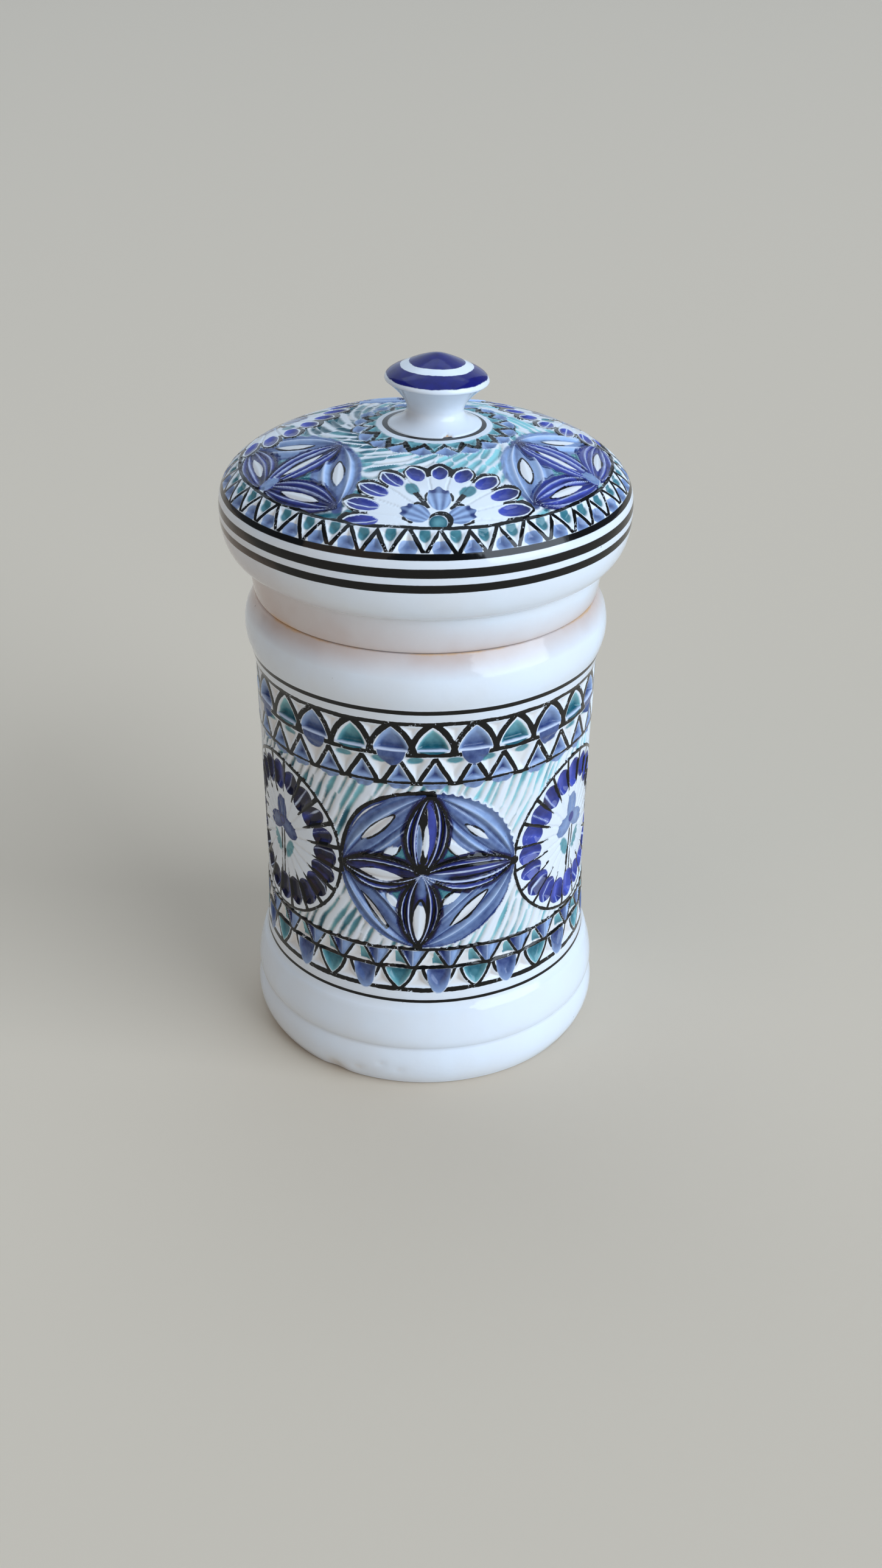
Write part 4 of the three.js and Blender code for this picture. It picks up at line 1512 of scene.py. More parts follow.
class TurnedSkin:
    """The mesh of a turned piece, whose outer skin takes relief and paint."""

    UV_NAME = "OFBake"
    PLAIN_SHARE = 0.3
    UNDULATION = 0.1
    UNDULATION_CELL = 17.0

    def __init__(self, outline: Outline, seed: int, centre: Point = (0.0, 0.0)) -> None:
        """Lays the outline's rows round the axis.

        Args:
            outline: the profile, from the axis below to the axis inside or above.
            seed: what the hand's drift is drawn from.
            centre: the axis in plan.
        """
        self.rows = outline.rows
        self.first: list[int] = []
        places, normals = [], []
        path = np.array([(row.radius, row.height) for row in self.rows])
        tangent = np.gradient(path, axis=0)
        tangent /= np.maximum(np.linalg.norm(tangent, axis=1, keepdims=True), 1e-9)
        for row, (run, rise) in zip(self.rows, tangent):
            self.first.append(sum(len(p) for p in places))
            count = row.columns if row.radius > 0 else 1
            angle = 2 * math.pi * np.arange(count) / count + math.pi
            ring = np.stack([np.sin(angle), -np.cos(angle), np.zeros(count)], axis=1)
            up = np.array([0.0, 0.0, 1.0])
            places.append(ring * row.radius + up * row.height + np.array([*centre, 0.0]))
            normals.append(ring * rise - up * run)
        self.place = np.concatenate(places)
        self.normal = np.concatenate(normals)
        flags = [np.full(len(p), row.worked) for p, row in zip(places, self.rows)]
        self.worked = np.concatenate(flags)
        self.skin = Skin(self.place[self.worked], seed)

    def faces(self) -> tuple[list[tuple[int, ...]], list[Point]]:
        """Joins the rows into faces.

        Returns:
            The corners of each face, and the map coordinates of each corner in the same order.
        """
        lengths = [0.0]
        for a, b in zip(self.rows, self.rows[1:]):
            share = 1.0 if b.worked else self.PLAIN_SHARE
            lengths.append(lengths[-1] + share * math.dist((a.radius, a.height), (b.radius, b.height)))
        heights = [length / lengths[-1] for length in lengths]
        faces: list[tuple[int, ...]] = []
        chart: list[Point] = []
        for index in range(len(self.rows) - 1):
            for face in self.join(index):
                faces.append(tuple(self.first[r] + c % self.count(r) for r, c in face))
                chart.extend((self.share(r, c, face), heights[r]) for r, c in face)
        return faces, chart

    def count(self, row: int) -> int:
        """Points in one row."""
        return self.rows[row].columns if self.rows[row].radius > 0 else 1

    def share(self, row: int, column: int, face: list[tuple[int, int]]) -> float:
        """How far round a corner lies, from 0 to 1, with the axis at the middle of its face.

        Args:
            row: the corner's row.
            column: its column.
            face: its face.

        Returns:
            The share of a turn.
        """
        if self.count(row) > 1:
            return column / self.count(row)
        others = [c / self.count(r) for r, c in face if self.count(r) > 1]
        return sum(others) / len(others)

    def join(self, row: int) -> list[list[tuple[int, int]]]:
        """Joins one row to the next, whatever their counts.

        Args:
            row: the lower row's index.

        Returns:
            Faces as lists of row and column.
        """
        low, high = self.count(row), self.count(row + 1)
        if low == high:
            return [[(row, c), (row, c + 1), (row + 1, c + 1), (row + 1, c)] for c in range(low)]
        faces = []
        at_low = at_high = 0
        while at_low < low or at_high < high:
            step_low = at_high >= high or (at_low < low and (at_low + 1) * high <= (at_high + 1) * low)
            if step_low and low > 1:
                faces.append([(row, at_low), (row, at_low + 1), (row + 1, min(at_high, high))])
            elif not step_low and high > 1:
                faces.append([(row, at_low), (row + 1, at_high + 1), (row + 1, at_high)])
            at_low, at_high = (at_low + 1, at_high) if step_low else (at_low, at_high + 1)
        return faces

    def build(self, name: str, material: bpy.types.Material) -> bpy.types.Object:
        """Makes the piece.

        Args:
            name: the piece's name.
            material: its finish.

        Returns:
            The new object.
        """
        skin = self.skin
        place = self.place.copy()
        outside = np.zeros(len(place))
        outside[self.worked] = skin.relief + skin.noise.at(skin.place, self.UNDULATION_CELL) * self.UNDULATION
        place += self.normal * outside[:, None]
        faces, chart = self.faces()
        mesh = bpy.data.meshes.new(name)
        mesh.from_pydata((place * MM).tolist(), [], faces)
        mesh.polygons.foreach_set("use_smooth", [True] * len(faces))
        layer = mesh.uv_layers.new(name=self.UV_NAME)
        layer.data.foreach_set("uv", np.array(chart).ravel())
        fields = {
            "relief": (skin.relief, 0), "ridge": (skin.ridge, 0),
            "charge": (skin.charge, skin.PLAIN_CHARGE), "clay": (skin.clay, UNSTAINED_UNSHADED)}
        fields |= {pigment.value: (skin.paint[pigment], FAR) for pigment in Pigment}
        for label, (values, plain) in fields.items():
            whole = np.full(len(place), float(plain))
            whole[self.worked] = values
            mesh.attributes.new(label, "FLOAT", "POINT").data.foreach_set("value", whole)
        mesh.materials.append(material)
        piece = bpy.data.objects.new(name, mesh)
        bpy.context.collection.objects.link(piece)
        log.info("%s: %d points, %d faces", name, len(place), len(faces))
        return piece


# Finishes


class Grain(Enum):
    """Grains of the noise in the glaze, in millimetres."""

    SPECK = 0.8
    EDGE = 1.3
    STREAK = 2.6
    SWAY = 4.5
    PATCH = 16.0


def ramp(value: Node | bpy.types.NodeSocket, ends: Ramp) -> dict:
    """Gives a map range's inputs: the value, where it starts and ends, and what it gives there."""
    return {0: value, **dict(enumerate(ends, 1))}


@dataclass(frozen=True)
class TinGlaze:
    """Tin-glazed earthenware, brushed with oxide colours and fired glossy.

    The white is opaque and a little uneven. The colours run from a thin wash to a thick charge, sit
    in the glaze with soft brush edges, and thin out to pale lines on the ridges. The light lies on
    it in sharp, slightly uneven highlights.
    """

    white: str = "#E1EAF5"
    white_warm_and_shaded: str = "#DACFC2"
    turquoise: tuple[str, str] = ("#8FD1DA", "#035468")
    blue: tuple[str, str] = ("#A0BCE6", "#182C6A")
    cobalt: tuple[str, str] = ("#4C5ABE", "#090728")
    black: tuple[str, str] = ("#08090B", "#030304")
    thin: str = "#C9D6EF"
    clay: str = "#D6B084"
    # Brownish tint near the seam: partly staining, partly painted shade and painted warm reflection
    stain_and_shade_colour: str = "#C2A18E"
    pit: str = "#4A3B30"
    softness: tuple[float, ...] = (0.35, 0.2, 0.16, 0.12, 0.12)
    roughness: float = 0.1
    roughness_spread: float = 0.1
    ior: float = 1.4
    bump: float = 0.2
    bump_height: float = 0.35
    sway: Point = (0.6, -0.45)
    waver: float = 0.3
    wheel_steadiness: float = 0.2
    patch: Ramp = (0.35, 0.7, 0.15, 0.0)
    # Warmer, darker white in the cuts: partly clay showing through the glaze, partly painted shade in the
    # hollows
    cut: Ramp = (-0.05, -0.7, 0.0, 0.5)
    dry: Ramp = (0.58, 0.68, 1.0, 0.25)
    spared: Ramp = (0.56, 0.62, 1.0, 0.0)
    thick: Ramp = (-0.7, -0.25, 1.0, 0.0)
    streak: Ramp = (0.3, 0.7, -0.08, 0.08)
    wear: Ramp = (0.28, 0.92, 0.0, 0.95)
    wear_breaks: float = 0.5
    clay_waver: float = 2.0
    bared: Ramp = (-0.4, 0.6, 0.8, 0.0)
    # How the seam's staining and painted shade fade out over the first 11 mm
    stain_and_shade: Ramp = (0.0, 11.0, 0.75, 0.0)
    uneven: Ramp = (0.35, 0.65, 0.75, 1.05)
    pit_spacing: float = 7.0
    pit_rarity: float = 0.82
    pit_edge: Ramp = (0.03, 0.06, 0.6, 0.0)

    def tones(self, pigment: Pigment) -> tuple[str, str]:
        """The thin and the thick tone of a colour."""
        tones = (self.turquoise, self.blue, self.cobalt, self.black, self.black)
        return tones[list(Pigment).index(pigment)]

    def material(self, name: str) -> bpy.types.Material:
        """Builds the glaze's nodes.

        Args:
            name: the material's name.

        Returns:
            The material.
        """
        material = bpy.data.materials.new(name)
        material.use_nodes = True
        material.node_tree.nodes.clear()
        add = partial(add_node, material.node_tree)
        place = add("TexCoord").outputs["Object"]
        clouds = {}
        for grain in Grain:
            scale = 1 / (grain.value * MM)
            clouds[grain] = add("TexNoise", {"Vector": place, "Scale": scale})
        patches = clouds[Grain.PATCH]
        sway = add("Math", {0: clouds[Grain.SWAY], 1: self.sway[0], 2: self.sway[1]},
                        operation="MULTIPLY_ADD")
        wobble = add("Math", {0: clouds[Grain.EDGE], 1: self.waver, 2: sway}, operation="MULTIPLY_ADD")
        colour = self.ground(add, patches)
        for pigment in (Pigment.TURQUOISE, Pigment.BLUE, Pigment.COBALT):
            colour = self.painted(add, colour, pigment, wobble, clouds)
        colour = self.worn(add, colour, wobble)
        for pigment in (Pigment.BLACK, Pigment.BANDING):
            colour = self.painted(add, colour, pigment, wobble, clouds)
        colour = self.flawed(add, colour, wobble, place, patches)
        smoothest = self.roughness - self.roughness_spread / 2
        rough = add("Math", {0: patches, 1: self.roughness_spread, 2: smoothest}, operation="MULTIPLY_ADD")
        bump = add("Bump", {
            "Height": clouds[Grain.SWAY], "Strength": self.bump, "Distance": self.bump_height * MM})
        shader = add("BsdfPrincipled", {
            "Base Color": colour, "Roughness": rough, "IOR": self.ior, "Normal": bump})
        add("OutputMaterial", {"Surface": shader})
        return material

    def ground(self, add: Adder, cloud: Node) -> Node:
        """White glaze, a little warmer in patches, and warmer and darker in the cuts: partly clay showing
        through the glaze, partly painted shade.

        Args:
            add: adds a node to the material.
            cloud: noise that makes the patches.

        Returns:
            The colour.
        """
        relief = add("Attribute", attribute_name="relief").outputs["Fac"]
        patch = add("MapRange", ramp(cloud, self.patch))
        # Painted shade in the cuts, along with clay showing through the glaze there
        cut = add("MapRange", ramp(relief, self.cut))
        warm = add("Math", {0: patch, 1: cut}, operation="MAXIMUM")
        return add("MixRGB", {0: warm, 1: linear(self.white), 2: linear(self.white_warm_and_shaded)})

    def painted(self, add: Adder, under: Node, pigment: Pigment,
                wobble: Node, clouds: dict[Grain, Node]) -> Node:
        """Lays one colour over what is there.

        Args:
            add: adds a node to the material.
            under: the colour so far.
            pigment: the colour to lay.
            wobble: how the brush's edge wanders, in millimetres.
            clouds: noise by its grain.

        Returns:
            The colour after it.
        """
        soft = self.softness[list(Pigment).index(pigment)]
        steady = self.wheel_steadiness if pigment is Pigment.BANDING else 1.0
        distance = add("Attribute", attribute_name=pigment.value).outputs["Fac"]
        edge = add("Math", {0: wobble, 1: steady, 2: distance}, operation="MULTIPLY_ADD")
        cover = add("MapRange", ramp(edge, (-soft, soft, 1.0, 0.0)), interpolation_type="SMOOTHSTEP")
        if pigment is Pigment.BLACK:
            dry = add("MapRange", ramp(clouds[Grain.SPECK], self.dry))
            spared = add("MapRange", ramp(clouds[Grain.SWAY], self.spared))
            thick = add("MapRange", ramp(edge, self.thick))
            full = add("Math", {0: spared, 1: thick}, operation="MAXIMUM")
            kept = add("Math", {0: dry, 1: full}, operation="MAXIMUM")
            cover = add("Math", {0: cover, 1: kept}, operation="MULTIPLY")
        charge = add("Attribute", attribute_name="charge").outputs["Fac"]
        streak = add("MapRange", ramp(clouds[Grain.STREAK], self.streak))
        load = add("Math", {0: charge, 1: streak}, operation="ADD", use_clamp=True)
        thin, full = (linear(tone) for tone in self.tones(pigment))
        tone = add("MixRGB", {0: load, 1: thin, 2: full})
        return add("MixRGB", {0: cover, 1: under, 2: tone})

    def worn(self, add: Adder, under: Node, wobble: Node) -> Node:
        """Thins the colours out along the ridges.

        Args:
            add: adds a node to the material.
            under: the colour so far.
            wobble: how the ridges break up.

        Returns:
            The colour after it.
        """
        ridge = add("Attribute", attribute_name="ridge").outputs["Fac"]
        crest = add("Math", {0: ridge, 1: 1.0}, operation="PINGPONG")
        broken = add("Math", {0: wobble, 1: self.wear_breaks, 2: crest}, operation="MULTIPLY_ADD")
        share = add("MapRange", ramp(broken, self.wear), interpolation_type="SMOOTHSTEP")
        return add("MixRGB", {0: share, 1: under, 2: linear(self.thin)})

    def flawed(self, add: Adder, under: Node, wobble: Node,
               place: bpy.types.NodeSocket, cloud: Node) -> Node:
        """Adds bare clay, staining and painted shade along the seam, and a few pits.

        Args:
            add: adds a node to the material.
            under: the colour so far.
            wobble: how edges wander, in millimetres.
            place: where each point lies.
            cloud: noise that makes the staining and the painted shade uneven.

        Returns:
            The finished colour.
        """
        clay = add("Attribute", attribute_name="clay").outputs["Fac"]
        edge = add("Math", {0: wobble, 1: self.clay_waver, 2: clay}, operation="MULTIPLY_ADD")
        bare = add("MapRange", ramp(edge, self.bared), interpolation_type="SMOOTHSTEP")
        # Staining near the seam, with painted shade and painted warm reflection
        stain_and_shade = add("MapRange", ramp(edge, self.stain_and_shade))
        uneven = add("MapRange", ramp(cloud, self.uneven))
        stain_and_shade_share = add("Math", {0: stain_and_shade, 1: uneven}, operation="MULTIPLY")
        colour = add("MixRGB", {0: stain_and_shade_share, 1: under, 2: linear(self.stain_and_shade_colour)})
        colour = add("MixRGB", {0: bare, 1: colour, 2: linear(self.clay)})
        cells = add("TexVoronoi", {"Vector": place, "Scale": 1 / (self.pit_spacing * MM)})
        chance = add("SeparateColor", {0: cells.outputs["Color"]})
        rare = add("Math", {0: chance, 1: self.pit_rarity}, operation="GREATER_THAN")
        hole = add("MapRange", ramp(cells.outputs["Distance"], self.pit_edge))
        pits = add("Math", {0: hole, 1: rare}, operation="MULTIPLY")
        return add("MixRGB", {0: pits, 1: colour, 2: linear(self.pit)})


# Pieces


@dataclass
class Nick:
    """A small dent in the glazed clay."""

    azimuth: float
    height: float
    radius: float
    depth: float

    def press(self, skin: Skin) -> None:
        """Dents the skin.

        Args:
            skin: the surface.
        """
        across = (skin.azimuth - math.radians(self.azimuth)) * skin.radius
        share = np.hypot(across, skin.level - self.height) / self.radius
        skin.relief -= self.depth * np.exp(-share ** 2)


@dataclass
class Jar:
    """The thrown jar: beaded foot, straight carved body, rounded white shoulder, hollow inside."""

    body_radius: float = 57.7
    body_height: float = 107.0
    belly_height: float = 30.0
    body_top_flare: float = 1.3
    wall: float = 6.2
    floor: float = 9.0
    floor_corner: float = 14.0
    foot_flare: float = 5.2
    foot_edge_inset: float = 3.0
    lower_bead: float = 16.2
    groove: float = 1.5
    upper_bead_inset: float = 0.6
    upper_bead: float = 14.8
    cove_flare: float = 2.3
    cove_height: float = 5.0
    cove_hollow: float = 0.5
    foot_top_flare: float = 0.8
    foot_ring: float = 9.0
    foot_bevel: float = 1.2
    foot_recess: float = 2.0
    foot_edge: float = 1.0
    foot_round: Point = (0.3, 0.8)
    shoulder_flare: float = 4.3
    shoulder_rise: float = 12.6
    shoulder_fall: float = 12.4
    shoulder_round: float = 0.9
    shoulder_lead: Point = (0.9, 4.0)
    mouth_ledge: float = 2.0
    mouth_depth: float = 9.0
    rim_width: float = 8.9
    rim_edge: float = 0.8
    rim_lean: float = 0.1
    plain: Weave = Weave(5.0, 96)
    inner: Weave = Weave(2.0, 96)
    bevel: Weave = Weave(1.0, 96)
    inner_edge: Weave = Weave(0.4, 96)
    smooth: Weave = Weave(1.0, 240, True)
    rim_round: Weave = Weave(0.4, 240, True)
    foot_fine: Weave = Weave(0.3, 240, True)
    carved: Weave = Weave(0.4, 900, True)
    motifs: int = 3
    motif_height: float = 87.2
    motif_start: float = 1.6
    field_gaps: Point = (0.7, 0.4)
    field_trims: Point = (0.4, 0.2)
    seam_hollow: float = 2.0
    seam_fall: float = 0.6
    rings: tuple[Point, ...] = ((148.2, 1.7), (34.7, 1.15))
    nicks: tuple[Nick, ...] = (
        Nick(-22, 5.5, 2.0, 0.5), Nick(-14, 9.5, 1.2, 0.4),
        Nick(-8, 7.5, 1.4, 0.35), Nick(-31, 2.0, 4.0, 0.8))
    seed: int = 11

    @property
    def mouth(self) -> float:
        """Radius of the mouth."""
        return self.body_radius - self.wall - self.mouth_ledge

    @property
    def top_z(self) -> float:
        """Height where the straight body ends."""
        return self.lower_bead + self.upper_bead + self.cove_height + self.body_height

    @property
    def rim(self) -> Point:
        """Radius and height of the rim."""
        return self.mouth + self.rim_width, self.top_z + self.shoulder_rise + self.shoulder_fall

    def outline(self) -> Outline:
        """Draws the profile from the middle of the foot, up the outside and down the hollow."""
        foot = self.body_radius + self.foot_flare
        edge = foot - self.foot_edge_inset
        recess = edge - self.foot_ring
        cove, cove_z = self.body_radius + self.cove_flare, self.lower_bead + self.upper_bead
        foot_top, foot_z = self.body_radius + self.foot_top_flare, cove_z + self.cove_height
        top, top_z = self.body_radius + self.body_top_flare, self.top_z
        shoulder, shoulder_z = self.body_radius + self.shoulder_flare, top_z + self.shoulder_rise
        hollow, mouth = self.body_radius - self.wall, self.mouth
        rim, rim_z = self.rim
        floor_z = self.foot_recess + self.floor
        line = Outline()
        line.start(0, self.foot_recess, self.plain)
        line.line(recess - self.foot_bevel, self.foot_recess, self.plain)
        line.line(recess, 0, self.bevel)
        line.line(edge - self.foot_edge, 0, self.plain)
        rounded = (edge + self.foot_round[0], self.foot_round[1])
        line.bend((edge, 0), rounded, self.foot_fine)
        line.swell((foot, self.lower_bead / 2), (foot - self.groove, self.lower_bead), self.smooth)
        upper = (foot - self.upper_bead_inset, self.lower_bead + self.upper_bead / 3)
        line.swell(upper, (cove, cove_z), self.smooth)
        middle = ((cove + foot_top) / 2 - self.cove_hollow, cove_z + self.cove_height / 2)
        line.swell(middle, (foot_top, foot_z), self.carved)
        belly = (self.body_radius, foot_z + self.belly_height)
        half_z = foot_z + (self.belly_height + self.body_height) / 2
        line.swell(belly, ((self.body_radius + top) / 2, half_z), self.carved)
        line.line(top, top_z, self.carved)
        lead = (top + self.shoulder_lead[0], top_z + self.shoulder_lead[1])
        line.bend(lead, ((top + shoulder) / 2, top_z + self.shoulder_rise / 2), self.carved)
        fall = ((shoulder + rim) / 2 + self.shoulder_round, shoulder_z + self.shoulder_fall / 2)
        line.swell((shoulder, shoulder_z), fall, self.smooth)
        line.line(rim, rim_z - self.rim_edge, self.smooth)
        rounded = (rim - self.rim_edge, rim_z)
        line.bend((rim - self.rim_lean, rim_z), rounded, self.rim_round)
        line.line(mouth + self.rim_edge, rim_z, self.inner)
        line.bend((mouth, rim_z), (mouth, rim_z - self.rim_edge), self.inner_edge)
        line.line(mouth, rim_z - self.mouth_depth, self.plain)
        line.line(hollow, rim_z - 2 * self.mouth_depth, self.inner)
        line.line(hollow, floor_z + self.floor_corner, self.plain)
        corner = (hollow - self.floor_corner, floor_z)
        line.bend((hollow, floor_z), corner, self.inner)
        line.line(0, floor_z, self.plain)
        return line

    def decorate(self, skin: Skin) -> None:
        """Carves and paints the outside.

        Args:
            skin: the surface.
        """
        scales, facets = ScaleBand(), FacetBand()
        upper, lower = self.field_gaps
        ground = meet(skin.height - scales.bottom + upper, facets.top + lower - skin.height)
        GougeField().carve(skin, skin.around(1, 0.0), skin.height, ground)
        up = skin.height - self.motif_height
        Medallion().carve(skin, skin.around(self.motifs, self.motif_start + 180 / self.motifs), up)
        Rosette().carve(skin, skin.around(self.motifs, self.motif_start), up)
        skin.clear(scales.bottom - self.field_trims[0] - skin.height)
        skin.clear(skin.height - facets.top - self.field_trims[1])
        for height, width in self.rings:
            skin.band(height, width)
        scales.carve(skin)
        facets.carve(skin)
        for nick in self.nicks:
            nick.press(skin)
        # Staining along the lid's seam, with painted shade under the lid's edge
        seam = skin.level.max() - skin.level
        skin.stain_and_shade_seam(seam + self.seam_fall * np.maximum(seam - self.seam_hollow, 0))

    def build(self, glaze: TinGlaze) -> bpy.types.Object:
        """Makes the jar and sets it in the frame.

        Args:
            glaze: its finish.

        Returns:
            The new object.
        """
        turned_skin = TurnedSkin(self.outline(), self.seed)
        self.decorate(turned_skin.skin)
        piece = turned_skin.build("jar_shell", glaze.material("tin_glazed_jar"))
        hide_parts("jar_body")
        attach(piece, "jar")
        return piece


@dataclass
class Lid:
    """The domed lid: flange, collar, taper, striped edge and a carved dome."""

    jar: Jar
    seat_gap: float = 0.3
    flange_clearance: float = 0.9
    flange_wall: float = 4.2
    flange_depth: float = 11.0
    collar_flare: float = 2.0
    collar_height: float = 12.4
    overhang: float = 8.5
    taper_height: float = 16.6
    taper_turn: float = 3.3
    dome_rise: float = 27.5
    side_power: float = 1.7
    crown_power: float = 2.6
    wall: float = 5.6
    crown_thickening: float = 1.5
    crown_radius: float = 9.0
    flange_edge: float = 0.8
    foot_edge: Trio = (0.9, 0.1, 0.7)
    crease_foot: Point = (0.1, 0.8)
    crease_round: Point = (0.9, 0.35)
    knob_foot: Point = (2.7, 0.0)
    plain: Weave = Weave(4.0, 96)
    inner: Weave = Weave(2.0, 96)
    flange_foot: Weave = Weave(1.5, 96)
    flange_side: Weave = Weave(2.5, 96)
    flange_round: Weave = Weave(0.4, 96)
    smooth: Weave = Weave(1.0, 240, True)
    edge_round: Weave = Weave(0.4, 240, True)
    taper: Weave = Weave(0.6, 1020, True)
    carved_step: float = 0.4
    wide_columns: int = 1020
    wide_from: float = 42.0
    middle_columns: int = 720
    middle_from: float = 25.0
    crown_columns: int = 420
    walk_points: int = 4000
    edge_walk: Point = (50.0, 0.2)
    stripes: tuple[Point, ...] = ((199.6, 2.9), (194.6, 2.7))
    border_low: Point = (204.5, 1.9)
    border_high: float = 211.5
    border_line: float = 1.2
    strokes: GougeField = field(default_factory=lambda: GougeField(
        slant=0.0, pitch=3.8, length=15.0, depth=0.45, sway=3.0, brush=2.3, bare=0.3, crisp=0.5, charge=0.48))
    stroke_radius: float = 45.0
    stroke_rise: float = 20.0
    fan_hub: float = 60.0
    fan_height: float = 28.0
    fan_reach: float = 40.0
    fans: tuple[float, ...] = (4.0, 126.0, 242.0)
    rosette_hub: float = 59.5
    rosette_reach: float = 50.0
    rosettes: tuple[float, ...] = (-59.0, 67.0, 184.0)
    petal_turn: float = 31.0
    petal_end: float = 57.5
    inner_end: float = 31.5
    seam_hollow: float = 2.0
    seam_fall: float = 0.55
    # How far the seam's staining and painted shade reach, further on the left as painted shade and warm
    # reflection
    seam_shade_sides: Point = (1.5, 1.0)
    seed: int = 23

    @property
    def foot(self) -> Point:
        """Radius and height of the collar's foot, which stands over the jar's rim."""
        return self.jar.rim[0], self.jar.rim[1] + self.seat_gap

    @property
    def collar(self) -> Point:
        """Radius and height of the crease over the collar."""
        return self.foot[0] + self.collar_flare, self.foot[1] + self.collar_height

    @property
    def widest(self) -> Point:
        """Radius and height of the widest ring."""
        return self.collar[0] + self.overhang, self.collar[1] + self.taper_height

    def dome(self, radius: float, outer: float, rise: float) -> float:
        """Height of a dome at a radius.

        Args:
            radius: where.
            outer: radius of the ring that it stands on.
            rise: its height over that ring.

        Returns:
            The height in the frame.
        """
        share = max(0.0, 1 - (radius / outer) ** self.side_power)
        return self.widest[1] + rise * share ** (1 / self.crown_power)

    def dome_path(self, outer: float, rise: float, inner: float, step: float) -> list[Point]:
        """Walks up a dome in even steps.

        Args:
            outer: radius of the ring that it stands on.
            rise: its height over that ring.
            inner: radius where the walk ends.
            step: length of a step.

        Returns:
            The points after the ring, up to the inner radius.
        """
        sweep = np.linspace(0, math.pi / 2, self.walk_points)
        radii = inner + (outer - inner) * np.cos(sweep)
        heights = np.array([self.dome(r, outer, rise) for r in radii])
        travel = travelled(radii, heights)
        stops = np.linspace(0, travel[-1], max(2, round(travel[-1] / step)))[1:]
        return list(zip(np.interp(stops, travel, radii), np.interp(stops, travel, heights)))

    def columns(self, radius: float) -> int:
        """Points in a carved row, fewer towards the crown.

        Args:
            radius: the row's radius.

        Returns:
            How many points.
        """
        if radius > self.wide_from:
            return self.wide_columns
        return self.middle_columns if radius > self.middle_from else self.crown_columns

    def outline(self) -> Outline:
        """Draws the profile from the hollow's top, down to the flange and up the outside to the crown."""
        outer, widest_z = self.widest
        collar, collar_z = self.collar
        foot, foot_z = self.foot
        flange = self.jar.mouth - self.flange_clearance
        bore = flange - self.flange_wall
        flange_z = foot_z - self.flange_depth
        inner = outer - self.wall
        inner_rise = self.dome_rise - self.wall - self.crown_thickening
        line = Outline()
        hollow = self.dome_path(inner, inner_rise, 0.0, self.plain.step)[::-1]
        line.start(0, hollow[0][1], self.plain)
        for radius, height in hollow[1:]:
            line.rows.append(Row(radius, height, self.plain.columns, False))
        line.line(inner, widest_z, self.plain)
        turn_z = collar_z + self.wall / 2
        turn = (inner, turn_z + self.taper_turn)
        line.bend(turn, (collar - self.wall, turn_z), self.inner)
        line.line(bore, foot_z + self.wall, self.plain)
        edge = self.flange_edge
        line.line(bore, flange_z + edge, self.plain)
        line.bend((bore, flange_z), (bore + edge, flange_z), self.flange_round)
        line.line(flange - edge, flange_z, self.flange_foot)
        line.bend((flange, flange_z), (flange, flange_z + edge), self.flange_round)
        line.line(flange, foot_z, self.flange_side)
        back, out, rise = self.foot_edge
        line.line(foot - back, foot_z, self.flange_side)
        line.bend((foot, foot_z), (foot + out, foot_z + rise), self.edge_round)
        line.line(collar - self.crease_foot[0], collar_z - self.crease_foot[1], self.smooth)
        crease = (collar + self.crease_round[0], collar_z + self.crease_round[1])
        line.bend((collar, collar_z), crease, self.edge_round)
        line.bend((outer, collar_z + self.taper_turn), (outer, widest_z), self.taper)
        for radius, height in self.dome_path(outer, self.dome_rise, self.crown_radius, self.carved_step):
            line.rows.append(Row(radius, height, self.columns(radius), True))
        line.line(0, self.dome(0, outer, self.dome_rise), self.plain)
        return line

    def on_dome(self, radius: float, azimuth: float) -> Array:
        """Place on the dome at a radius and an azimuth in degrees.

        Args:
            radius: where.
            azimuth: where.

        Returns:
            The place in millimetres.
        """
        turn = math.radians(azimuth)
        height = self.dome(radius, self.widest[0], self.dome_rise)
        return np.array([radius * math.sin(turn), -radius * math.cos(turn), height])

    def facing(self, hub: float, azimuth: float, inner: float) -> tuple[Array, Array, Array]:
        """Sets a drawing board on the dome.

        Args:
            hub: radius of the board's origin.
            azimuth: its azimuth in degrees.
            inner: radius of the point that its up axis runs to.

        Returns:
            The origin, the axis across and the axis up.
        """
        origin = self.on_dome(hub, azimuth)
        up = self.on_dome(inner, azimuth) - origin
        turn = math.radians(azimuth)
        return origin, np.array([math.cos(turn), math.sin(turn), 0.0]), up / np.linalg.norm(up)

    def decorate(self, skin: Skin) -> None:
        """Carves and paints the outside.

        Args:
            skin: the surface.
        """
        past = self.border_high - skin.height
        spiral = np.hypot(skin.hand[:, 0], skin.hand[:, 1]) + skin.azimuth * self.stroke_rise
        self.strokes.carve(skin, skin.azimuth * self.stroke_radius, spiral, past)
        for azimuth in self.rosettes:
            origin, across, up = self.facing(self.rosette_hub, azimuth, self.inner_end)
            local = skin.hand - origin
            tips = []
            for radius, swing in zip((self.petal_end, self.inner_end, self.petal_end), (-1, 0, 1)):
                offset = self.on_dome(radius, azimuth + swing * self.petal_turn) - origin
                tips.append((float(offset @ across), float(offset @ up)))
            near = meet(past, np.linalg.norm(local, axis=1) - self.rosette_reach)
            HalfRosette().carve(skin, local @ across, local @ up, tips, near)
        for azimuth in self.fans:
            origin, across, up = self.facing(self.fan_hub, azimuth, self.fan_hub - self.fan_height)
            local = skin.hand - origin
            near = meet(past, np.linalg.norm(local, axis=1) - self.fan_reach)
            Fan().carve(skin, local @ across, local @ up, near)
        KnobSurround().carve(skin, self.knob_foot)
        self.decorate_edge(skin)
        # Staining near the seam, with painted shade and painted warm reflection under the overhang, reaching
        # further on the left
        seam = skin.level - skin.level.min()
        seam = seam - self.seam_fall * np.maximum(seam - self.seam_hollow, 0)
        skin.stain_and_shade_seam(seam * (self.seam_shade_sides[0] - self.seam_shade_sides[1] * skin.brush_and_shade_side))

